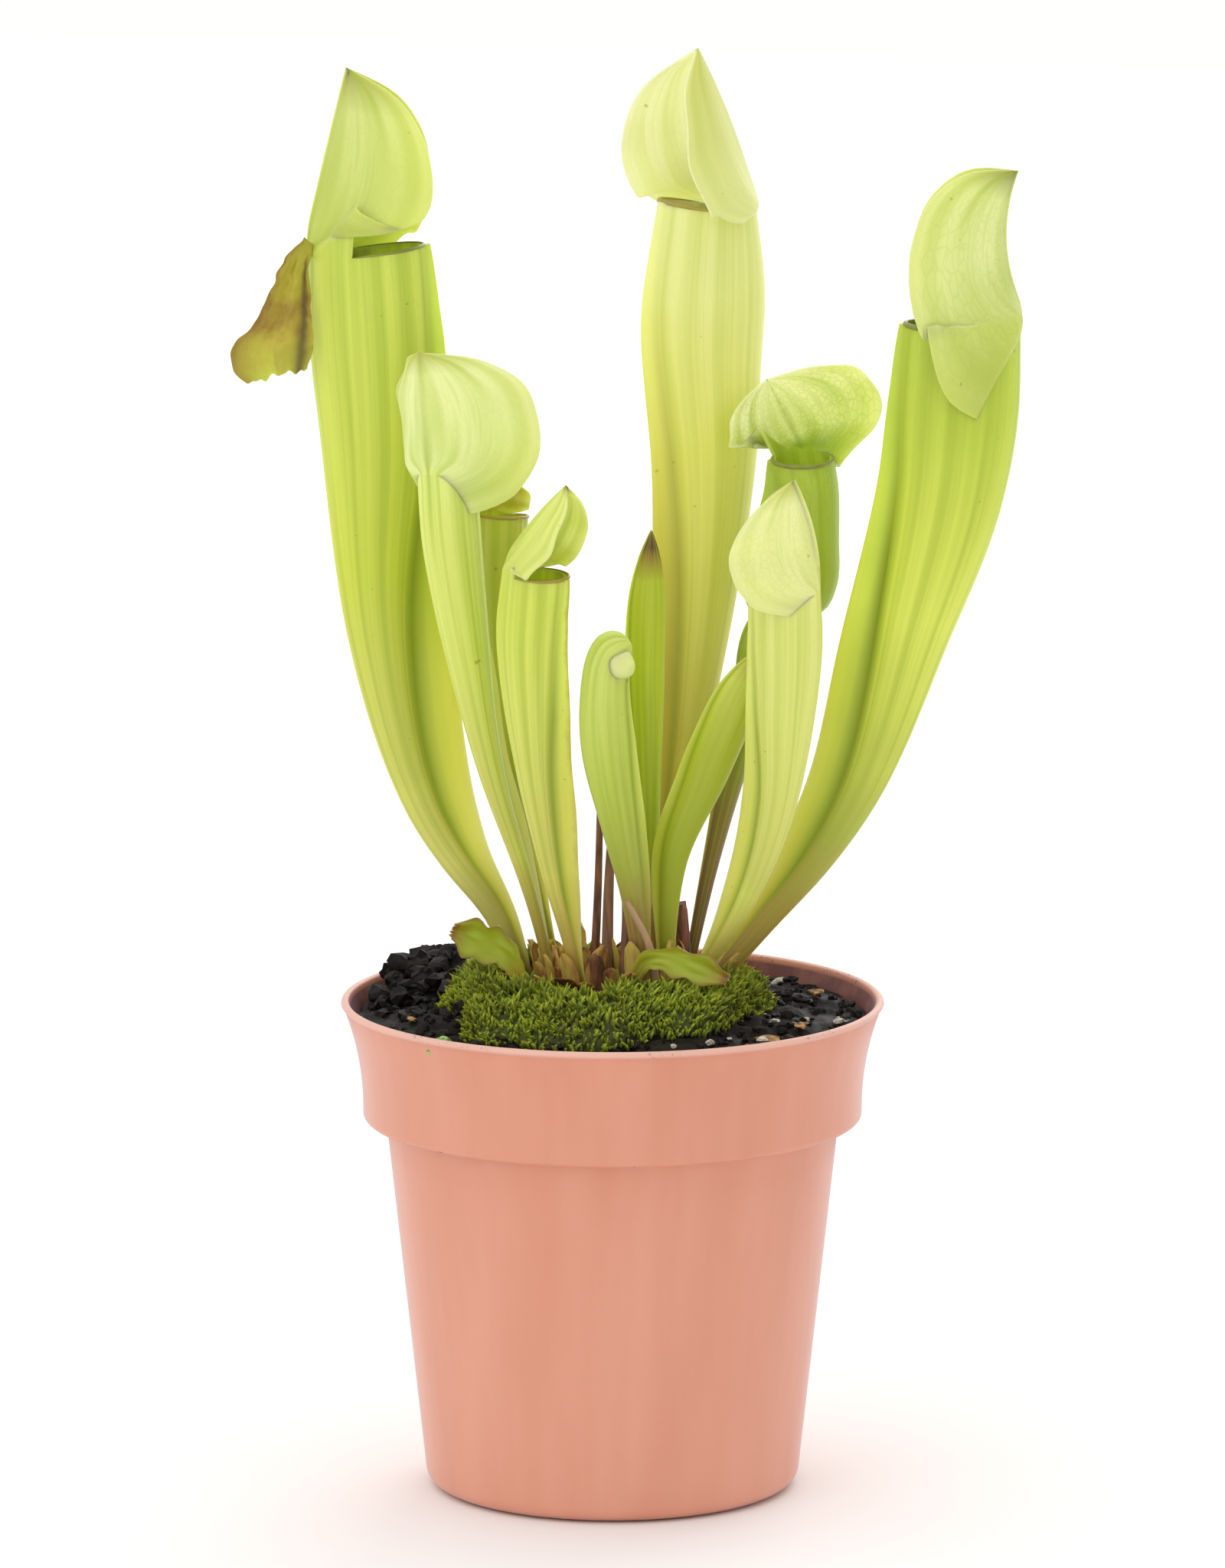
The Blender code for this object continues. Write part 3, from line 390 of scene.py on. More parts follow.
smudged = blend(tree, smudge_mask, warm, linear("A8705C"))
dusted = blend(tree, speck_mask, smudged, linear("5A3428"))
# Painted shade: the inside of the rim is painted a patchy dark red-brown for the shade within the pot
inner_shade_noise = cloud_of(tree, place, 130.0, 4.0)
inner_shade = remap(tree, inner_shade_noise, low=0.3, high=0.6, bottom=0.6, top=0.97)
inner = read_mark(tree, "inside")
lip_mark = read_mark(tree, "edge")
inner_shade_mask = calculate(tree, "MULTIPLY", inner_shade, inner)
inner_shaded = blend(tree, inner_shade_mask, dusted, linear("6E332D"))
worn_mask = calculate(tree, "MULTIPLY", lip_mark, 0.45)
worn = blend(tree, worn_mask, inner_shaded, linear("F2D2C6"))
tree.links.new(worn, shader.inputs["Base Color"])
# Painted reflection: a cool-tinted sheen makes both sides of the pot paler, as the room's reflection does
shader.inputs["Sheen Weight"].default_value = 0.3
shader.inputs["Sheen Roughness"].default_value = 0.22
shader.inputs["Sheen Tint"].default_value = linear("C6D0FF")
rough = remap(tree, loaded, bottom=0.33, top=0.62)
tree.links.new(rough, shader.inputs["Roughness"])
emboss(tree, shader, flow, 0.05, 0.0004)
print("pot finish nodes:", len(tree.nodes))

# %% Pot piece
POT_SIDES = 144
DRAIN_HOLES, DRAIN_HOLE_DIAMETER, DRAIN_CIRCLE_RADIUS = 8, 5.0, 20.0
shell = Shell()
inner_side = np.array([0.0] * len(outside) + [1.0] * len(inside))[:, None]
LIP_BAND = 1.2
on_lip = [h > POT_HEIGHT - LIP_BAND and r > RIM_RADIUS - LIP_BAND for r, h in section]
lip_side = np.array(on_lip, dtype=float)[:, None]
wall = shell.add(ring_grid(section, POT_SIDES), inside=inner_side, edge=lip_side)
shell.quads(wall, closed=True)
under = shell.add([[0.0, 0.0, 0.35]])
over = shell.add([[0.0, 0.0, POT_FLOOR]])
shell.fan(wall[0], under[0])
shell.fan(wall[-1], over[0])
pot = shell.piece("nursery_pot", [polypropylene], "pot_plastic", ["pot"], smooth_angle=35.0)
for k in range(DRAIN_HOLES):
    turn = 2 * math.pi * (k + 0.5) / DRAIN_HOLES
    spot = (DRAIN_CIRCLE_RADIUS * MM * math.cos(turn), DRAIN_CIRCLE_RADIUS * MM * math.sin(turn), 0.0)
    bpy.ops.mesh.primitive_cylinder_add(vertices=28, radius=DRAIN_HOLE_DIAMETER / 2 * MM, depth=0.006,
                                        location=spot)
    drill = bpy.context.object
    step = pot.modifiers.new("drain", "BOOLEAN")
    step.operation = "DIFFERENCE"
    step.object = drill
    made = bpy.data.meshes.new_from_object(pot.evaluated_get(bpy.context.evaluated_depsgraph_get()))
    pot.modifiers.clear()
    pot.data = made
    bpy.data.objects.remove(drill)
pot.data.set_sharp_from_angle(angle=math.radians(35.0))
print("pot faces with its drain holes:", len(pot.data.polygons))

# %% [markdown]
# ## The peat
# Peat mix is a heap of dark crumbs from 0.5 to 5 mm across, with fibres and a few white grains of perlite. A
# bumpy surface alone would look like mud, so the piece has a base surface with lumps in its own mesh, and
# loose crumbs are strewn over it. Each crumb is a sphere of 80 faces that noise has pulled out of round.

# %% Ground shape
SOIL_EDGE_HEIGHT, SOIL_DOME, SOIL_LUMP = 78.0, 5.0, 1.3
PEAT_HEAP_CENTRE, PEAT_HEAP_HEIGHT, PEAT_HEAP_RADIUS = (-31.0, 15.5), 5.0, 12.0
CROWN_CENTRE, CROWN_HALF_SIZE, CROWN_KNOB = (-0.5, -0.5, 80.0), (19.5, 12.0, 6.2), 0.5


def ground_height(x, y):
    """The height of the peat: a dome, heaped up at the back left, with coarse lumps."""
    share = min(math.hypot(x, y) / RIM_RADIUS, 1.0)
    dome = SOIL_EDGE_HEIGHT + SOIL_DOME * (1 - share**2)
    away = math.hypot(x - PEAT_HEAP_CENTRE[0], y - PEAT_HEAP_CENTRE[1]) / PEAT_HEAP_RADIUS
    heap = PEAT_HEAP_HEIGHT * math.exp(-(away**2)) * (1 - share**6)
    lumps = SOIL_LUMP * noise.noise(Vector((x, y, 3.0)) * 0.22) * (1 - share**4)
    return dome + heap + lumps


def crumbly(x, y):
    """The ground with its crumbs of 1 to 3 mm, as a height."""
    crumbs = 0.55 * noise.noise(Vector((x, y, 1.0)) * 0.55) + 0.35 * noise.noise(Vector((x, y, 5.0)) * 1.2)
    return ground_height(x, y) + crumbs + 0.2 * noise.noise(Vector((x, y, 8.0)) * 2.4)


shell = Shell()
sides = 180
clear = POT_WALL + GAP
low = POT_FLOOR + GAP
levels = [(body_radius(low) - clear - FLOOR_FILLET, low), (body_radius(low + 2.0) - clear, low + 2.0),
          (body_radius(LEDGE) - clear, LEDGE), (body_radius(LEDGE) - clear, LEDGE + clear),
          (COLLAR_RADIUS - clear - GAP, LEDGE + clear + 3 * GAP),
          (COLLAR_RADIUS - clear, LEDGE + clear + SHELF_FILLET)]
levels += [(collar_radius(d) - clear, POT_HEIGHT - d) for d in (12.0, 9.0, 7.0)]
edge = collar_radius(POT_HEIGHT - SOIL_EDGE_HEIGHT) - clear
rows = list(ring_grid(levels, sides))
for share in np.linspace(1.0, 0.02, 72):
    ring = ring_grid([(edge * share, 0.0)], sides)[0]
    rows.append(np.array([(x, y, crumbly(x, y)) for x, y, _ in ring]))
grid = shell.add(np.array(rows))
shell.quads(grid, closed=True)
shell.fan(grid[0], shell.add([[0.0, 0.0, low]])[0])
shell.fan(grid[-1], shell.add([[0.0, 0.0, crumbly(0.0, 0.0)]])[0])

# %% [markdown]
# Wet sphagnum peat is close to black, with brown where it dries, and has no gloss except a little water in
# its pores. The crumbs of 1 to 3 mm give the bump its scale.

# %% Peat finish
peat, tree, shader = new_finish("sphagnum_peat", "1F1714", 0.92)
shader.inputs["Specular IOR Level"].default_value = 0.22
place = position(tree)
crumb = cloud_of(tree, place, 520.0, 6.0)
damp = cloud_of(tree, place, 85.0, 2.0)
dark = ramp(tree, crumb, (0.3, "0D0A09"), (0.58, "1F1714"), (0.8, "46362A"))
wetted = blend(tree, damp, dark, linear("8E8580"), "MULTIPLY")
tree.links.new(wetted, shader.inputs["Base Color"])
rough = remap(tree, damp, low=0.35, high=0.6, bottom=0.95, top=0.6)
tree.links.new(rough, shader.inputs["Roughness"])
emboss(tree, shader, crumb, 0.8, 0.0006)
shell.piece("peat_surface", [peat], "peat", ["soil"], smooth_angle=80.0)


# %% Crumbs
def ball(detail=2):
    """The points and triangles of a small sphere made from an icosahedron."""
    shape = bmesh.new()
    bmesh.ops.create_icosphere(shape, subdivisions=detail, radius=1.0)
    points = np.array([v.co[:] for v in shape.verts])
    faces = np.array([[v.index for v in f.verts] for f in shape.faces])
    shape.free()
    return points, faces


def strew(shell, places, sizes, dice, flat=0.75, rough=0.45, finish=0, detail=2):
    """Adds a crumb at each place: a sphere pulled out of round, turned at random."""
    points, faces = ball(detail)
    for place, size in zip(places, sizes):
        seed = Vector((dice.uniform(0, 99), dice.uniform(0, 99), dice.uniform(0, 99)))
        pull = np.array([1 + rough * 2 * noise.noise(Vector(p) * 1.1 + seed) for p in points])
        stretch = np.array([dice.uniform(0.75, 1.3), dice.uniform(0.75, 1.3), flat])
        turn = dice.uniform(0, 2 * math.pi)
        shape = points * pull[:, None] * stretch * size
        spun = shape @ np.array([[math.cos(turn), math.sin(turn), 0], [-math.sin(turn), math.cos(turn), 0],
                                 [0, 0, 1]])
        numbers = shell.add(spun + np.array(place), tone=dice.random())
        shell.faces += numbers[faces].tolist()
        shell.finishes += [finish] * len(faces)


def in_pot(dice, reach=0.96):
    """A random place on the ground, kept inside the pot's rim."""
    far = edge * reach * math.sqrt(dice.random())
    turn = dice.uniform(0, 2 * math.pi)
    return far * math.cos(turn), far * math.sin(turn)


dice = random.Random(11)
places, sizes = [], []
while len(places) < 520:
    x, y = in_pot(dice)
    heap = math.exp(-((math.hypot(x - PEAT_HEAP_CENTRE[0], y - PEAT_HEAP_CENTRE[1]) / 15.0) ** 2))
    size = dice.uniform(0.4, 1.1) * (1 + 1.1 * heap * dice.random())
    if math.hypot(x, y) > edge - size - 0.4:
        continue
    places.append((x, y, crumbly(x, y) + 0.25 * size))
    sizes.append(size)
small = len(places)
while len(places) < small + 95:
    x, y = dice.gauss(-31.0, 8.5), dice.gauss(15.0, 9.5)
    size = dice.uniform(1.0, 2.3)
    if math.hypot(x, y) > edge - size - 0.5 or math.hypot(x + 8.0, y) < 14.0:
        continue
    heap = math.exp(-((math.hypot(x + 31.0, y - 15.0) / 9.0) ** 2))
    places.append((x, y, crumbly(x, y) + dice.uniform(0.3, 0.9) * size + 1.6 * heap * dice.random()))
    sizes.append(size)
shell = Shell()
strew(shell, places, sizes, dice)
shell.piece("peat_crumbs", [peat], "peat", smooth_angle=30.0)

# %% [markdown]
# Perlite is expanded volcanic glass: white, matt, crumbly grains of 1 to 3 mm. A few flakes of bark and
# pale grit lie among it, and one round green cushion of liverwort sits at the front left of the rim.

# %% Perlite, bark and liverwort
perlite, tree, shader = new_finish("expanded_perlite", "D9D2C2", 0.95)
place = position(tree)
pores = cloud_of(tree, place, 900.0, 4.0)
chalk = ramp(tree, pores, (0.35, "8C8171"), (0.55, "D8D0C0"))
tree.links.new(chalk, shader.inputs["Base Color"])
emboss(tree, shader, pores, 0.6, 0.0003)

bark, tree, shader = new_finish("bark_flake", "A97B48", 0.85)
place = position(tree)
fibre = cloud_of(tree, place, 700.0, 4.0)
tan = ramp(tree, fibre, (0.35, "5B3D22"), (0.65, "C4955C"))
tree.links.new(tan, shader.inputs["Base Color"])

liverwort, tree, shader = new_finish("liverwort_cushion", "9DBE68", 0.7)
place = position(tree)
cells = add_node(tree, "ShaderNodeTexVoronoi", inputs={"Vector": place, "Scale": 1300.0})
green = ramp(tree, cells.outputs["Distance"], (0.1, "BAD58A"), (0.7, "5E8A34"))
tree.links.new(green, shader.inputs["Base Color"])
emboss(tree, shader, cells.outputs["Distance"], 0.7, 0.0005, invert=True)

dice = random.Random(5)
places, sizes = [], []
while len(places) < 34:
    x, y = in_pot(dice, 0.93)
    if x < 14 and dice.random() < 0.75:
        continue
    places.append((x, y, crumbly(x, y) + 0.3))
    sizes.append(dice.uniform(0.45, 1.1))
shell = Shell()
strew(shell, places, sizes, dice, rough=0.35)
strew(shell, [(-19.5, -37.0, crumbly(-19.5, -37.0) + 0.8)], [1.5], dice, rough=0.3)
shell.piece("perlite_grains", [perlite], "peat", smooth_angle=30.0)

shell = Shell()
places = [(25.5, -24.0), (22.0, -29.5), (31.0, -18.0), (-33.0, -12.0), (12.0, 33.0), (-12.0, 34.5),
          (34.0, 8.0)]
strew(shell, [(x, y, crumbly(x, y) + 0.5) for x, y in places], [1.6, 1.1, 1.2, 1.0, 1.3, 1.2, 1.1], dice,
      flat=0.35)
shell.piece("bark_flakes", [bark], "peat", smooth_angle=30.0)

shell = Shell()
middle = Vector((-28.0, -30.5, crumbly(-28.0, -30.5) + 0.6))
around = [middle + Vector((math.cos(t), math.sin(t), 0.0)) * 1.4 for t in np.radians([0, 75, 150, 220, 290])]
around = [(p.x, p.y, crumbly(p.x, p.y) + 0.7) for p in around]
strew(shell, [tuple(middle + Vector((0, 0, 0.9)))] + around, [1.7, 1.2, 1.1, 1.3, 1.1, 1.2], dice, rough=0.18,
      detail=3)
shell.piece("liverwort", [liverwort], "moss", smooth_angle=80.0)

# %% [markdown]
# ## Leaf geometry
# A pitcher's tube is a row of rings along a smooth route. Each ring has two radii, and a thin wing stands
# out from its front. The hood continues the back of the mouth: its keel runs on upwards, and each half folds
# forwards from it. The solids use 14 points a ring. Here the same sums run on whole numpy arrays with
# about 60, so that the wing becomes a thin blade and the hood's margin a smooth curve. A subdivision
# surface would round the coarse mesh too, but it would shrink it and blunt the wing.

# %% Curves and routes
FOOT_HEIGHT, LEAF_WALL, HOLLOW_FROM, LIP_FLARE, LOBE_CLEARANCE = 82.5, 0.7, 0.3, 0.6, 1.5
TUBE_PROFILE = ((0.0, 0.15), (0.12, 0.19), (0.28, 0.28), (0.53, 0.55), (0.77, 0.9), (0.9, 1.0), (1.0, 0.93))
WING_PROFILE = ((0.0, 0.05), (0.12, 0.25), (0.28, 0.85), (0.5, 1.0), (0.77, 0.5), (0.9, 0.28), (1.0, 0.15))
FLAP_PROFILE = ((0.0, 0.0), (0.25, 0.05), (0.5, 0.15), (0.7, 0.2), (0.74, 0.9), (0.77, 1.0), (0.86, 0.55),
                (1.0, 0.1))
BUD_PROFILE = ((0.0, 0.3), (0.25, 0.42), (0.5, 0.75), (0.72, 1.0), (0.88, 0.9))
LID_KEEL = ((0.0, 0.0), (0.1, 0.07), (0.2, 0.15), (0.32, 0.26), (0.45, 0.4), (0.6, 0.57), (0.75, 0.73),
            (0.9, 0.9), (1.0, 1.0))
LID_MARGIN_UP = ((0.0, 0.0), (0.1, 0.0), (0.2, 0.04), (0.32, 0.18), (0.45, 0.38), (0.6, 0.6), (0.75, 0.79),
                 (0.9, 0.94), (1.0, 1.0))
LID_MARGIN_OUT = ((0.0, 0.4), (0.1, 0.62), (0.2, 0.84), (0.32, 0.97), (0.45, 1.0), (0.6, 0.94), (0.75, 0.76),
                  (0.9, 0.42), (1.0, 0.02))
LID_MARGIN_SAG, LID_HANG_SAG = 1.6, 2.4


def curve(stations, at):
    """Values read from a smooth curve through (place, value) stations."""
    places, values = np.array(stations, float).T
    slopes = np.gradient(values, places)
    at = np.clip(np.asarray(at, float), places[0], places[-1])
    i = np.clip(np.searchsorted(places, at) - 1, 0, len(places) - 2)
    span = places[i + 1] - places[i]
    u = (at - places[i]) / span
    level = values[i] * (2 * u**3 - 3 * u**2 + 1) + values[i + 1] * (3 * u**2 - 2 * u**3)
    return level + span * (slopes[i] * (u**3 - 2 * u**2 + u) + slopes[i + 1] * (u**3 - u**2))


def blend_step(low, high, at):
    """0 below low, 1 above high, and smooth between."""
    u = np.clip((np.asarray(at, float) - low) / (high - low), 0.0, 1.0)
    return u * u * (3 - 2 * u)


def unit(ways):
    """Each vector at a length of 1."""
    return ways / np.linalg.norm(ways, axis=-1, keepdims=True)


def turn_from(angles, middle=0.0):
    """How far round each angle lies from another one, from 0 to pi."""
    return np.abs((angles - middle + math.pi) % (2 * math.pi) - math.pi)


class Route:
    """A smooth line through points, read by the share of its length."""

    STEPS = 32

    def __init__(self, points):
        knots = [Vector(p) for p in points]
        ways = [knots[min(i + 1, len(knots) - 1)] - knots[max(i - 1, 0)] for i in range(len(knots))]
        line = []
        for a, b, way_a, way_b in zip(knots, knots[1:], ways, ways[1:]):
            reach = (b - a).length / 3
            handles = (a + way_a.normalized() * reach, b - way_b.normalized() * reach)
            line += geometry.interpolate_bezier(a, *handles, b, self.STEPS)[:-1]
        line.append(knots[-1])
        self.line = np.array([tuple(p) for p in line])
        steps = np.linalg.norm(np.diff(self.line, axis=0), axis=1)
        self.length = float(steps.sum())
        self.shares = np.concatenate([[0.0], np.cumsum(steps)]) / self.length

    def point(self, shares):
        return np.stack([np.interp(shares, self.shares, self.line[:, k]) for k in range(3)], axis=-1)

    def way(self, shares, step=0.02):
        ahead = self.point(np.minimum(shares + step, 1.0)) - self.point(np.maximum(shares - step, 0.0))
        return unit(ahead)


def leaf_frame(route, shares, facing):
    """The ways up, to the front and to the side of a leaf's tube, at shares of its route."""
    up = route.way(np.asarray(shares, float))
    front = np.array([math.cos(math.radians(facing)), math.sin(math.radians(facing)), 0.0])
    front = unit(front - up * (up @ front)[..., None])
    return up, front, np.cross(front, up)


# The wing's section: how far out the tube's skin stands, by the angle from the wing's middle
BLADE_ANGLES = (0.0, 0.03, 0.06, 0.09, 0.13, 0.18, 0.25, 0.34, 0.42)
BLADE_SHARES = (1.0, 0.985, 0.93, 0.72, 0.42, 0.2, 0.07, 0.015, 0.0)


def wing_angle(spec):
    return math.pi - math.radians(spec.get("wing_turn", 0.0))


def tube_points(route, spec, profile, shares, angles, grow=0.0, wing=True, sway=0.0):
    """Rings of a leaf's tube, from its back round to its front, where the wing stands out."""
    up, front, side = leaf_frame(route, shares, spec["facing"])
    depth = spec["depth"] * curve(profile, shares)
    reach = spec["wing"] * curve(spec.get("wing_profile", WING_PROFILE), shares)
    way = side * math.sin(wing_angle(spec)) - front * math.cos(wing_angle(spec))
    middle = route.point(shares) - way * reach[:, None] / 2
    away = turn_from(angles, wing_angle(spec))
    blade = np.interp(away, BLADE_ANGLES, BLADE_SHARES) * wing
    ahead = (depth / 2 + grow)[:, None] * -np.cos(angles)
    aside = (depth * spec["side"] / 2 + grow)[:, None] * np.sin(angles)
    points = middle[:, None] + front[:, None] * ahead[..., None] + side[:, None] * aside[..., None]
    bend = sway * np.sin(shares * 23.0 + spec["wing"]) * np.sin(shares * math.pi)
    return points + (way * reach[:, None])[:, None] * blade[:, None] + (
        np.cross(up, way) * (bend * reach)[:, None])[:, None] * (blade**2)[:, None]


print("stations in a tube's profile:", len(TUBE_PROFILE))


# %% Mouth and hood
COLUMN_END = 6 * math.pi / 14


def mouth_points(route, spec, shares, angles, grow=0.0, wing=True):
    """Rings of the tube's skin, or inside it: near the mouth its front rises and its edge flares."""
    profile = TUBE_PROFILE[:-1] + ((1.0, spec.get("lip", TUBE_PROFILE[-1][1])),)
    points = tube_points(route, spec, profile, shares, angles, grow, wing, sway=0.07)
    up, front, side = leaf_frame(route, shares, spec["facing"])
    rise = blend_step(0.9, 1.0, shares)[:, None] * (1 - np.cos(angles)) / 2
    outward = side[:, None] * np.sin(angles)[:, None] - front[:, None] * np.cos(angles)[:, None]
    return points + (up[:, None] * spec["mouth_rise"] + outward * LIP_FLARE) * rise[..., None]


def hood_points(spec, lip, keel_start, ways, row, across, outer):
    """Points on the hood, from its neck (row 0) to its tip (1), and across it from -1 to 1."""
    lid = spec["lid"]
    up, front, side = ways
    roll = math.radians(lid["roll"])
    up, side = up * math.cos(roll) - side * math.sin(roll), side * math.cos(roll) + up * math.sin(roll)
    row, across = row[:, None], across[None, :]
    hand = np.where(across < 0, -1.0, 1.0)
    share = np.abs(across)
    width_most = np.where(across < 0, *lid["width"])
    hang_most = np.where(across < 0, *lid["hang"])
    keel_up = lid["height"] * curve(LID_KEEL, row)
    margin_up = lid["height"] * curve(LID_MARGIN_UP, row)
    along = keel_up + (margin_up - keel_up) * share**LID_MARGIN_SAG
    along = along - hang_most * (1 - blend_step(0.1, 0.6, row)) * share**LID_HANG_SAG
    width = width_most * curve(LID_MARGIN_OUT, row)
    steps = 12
    keel = np.broadcast_to(keel_start, along.shape + (3,)).copy()
    for k in range(steps):
        place = along * (k + 0.5) / steps
        tilt = np.radians(lid["lean"] * blend_step(0.0, 0.25 * lid["height"], place)
                          + lid["arch"] * np.maximum(place, 0.0) / lid["height"])[..., None]
        keel += (up * np.cos(tilt) + front * np.sin(tilt)) * (along / steps)[..., None]
    inward = front * np.cos(tilt) - up * np.sin(tilt)
    wrap = lid["wrap"] * (1 - blend_step(0.05, 0.5, row))
    clear = spec["depth"] * spec["side"] / 2 + LOBE_CLEARANCE
    point = keel.copy()
    aside = 0.0 * along
    for k in range(steps):
        folded = lid["fold"] + (lid["close"] - lid["fold"]) * share * (k + 0.5) / steps
        turn = np.radians(folded + (90.0 * blend_step(0.6 * clear, 1.1 * clear, aside) - folded) * wrap)
        step = width * share / steps
        way = side * (hand * np.cos(turn))[..., None] + inward * np.sin(turn)[..., None]
        point += way * step[..., None]
        aside = aside + step * np.cos(turn)
    normal = inward * np.cos(turn)[..., None] - side * (hand * np.sin(turn))[..., None]
    mix = blend_step(0.0, 0.2, row)[..., None]
    # The margin waves a little, and a pleated hood has folds that fan out from its neck
    wave = 0.55 * share**3 * np.sin(row * 19.0 + 2.3 * hand + lid["height"]) * (1 - row**4)
    pleat = lid.get("pleats", 0.0) * np.sin(across * 22.0) * (1 - row) * np.minimum(1.0, 3 * row)
    thick = 0.0 if outer else LEAF_WALL * (1 - 0.45 * share**4)
    settled = lip[None] + (keel - keel_start)
    lift = (thick + wave + pleat) * np.ones(along.shape)
    return settled * (1 - mix) + point * mix + normal * lift[..., None] * mix


def mouth_angles(spec, back=13, most=0.17):
    """The ring's angles: even across the back, close together over the wing. The back's come first."""
    fin = wing_angle(spec)
    blade = sorted({fin + s * a for a in BLADE_ANGLES for s in (-1, 1)})
    end = 2 * math.pi - COLUMN_END
    blade = [a for a in blade if COLUMN_END + 0.02 < a < end - 0.02]

    def fill(a, b):
        return list(np.linspace(a, b, max(2, int((b - a) / most) + 2))[1:-1])

    front = fill(COLUMN_END, blade[0]) + blade + fill(blade[-1], end)
    return np.array(list(np.linspace(-COLUMN_END, COLUMN_END, 2 * back + 1)) + front), 2 * back + 1


print("columns round a tube:", len(mouth_angles({})[0]))

# %% [markdown]
# ## Leaf finish
# A living leaf is a thin sheet of cells under a waxy skin. The skin gives a soft gloss (IOR 1.42, roughness
# near 0.4). Light enters the flesh, scatters over about a millimetre and comes out yellow-green, also on the
# far side, so leaves get some subsurface scattering. The colours come in layers: stations along the leaf
# from a brown foot to a pale hood, a brown flush low on the back and front, bands of deeper green about 5 mm
# wide, fibre veins about 1.2 mm apart, a net of veins on the hood, painted shade in the creases at the keel
# and the wing's root, a margin that is dry along the wing and pale round the hood as a painted highlight, and
# blotches and specks where tissue dies back. Each layer is one mask.


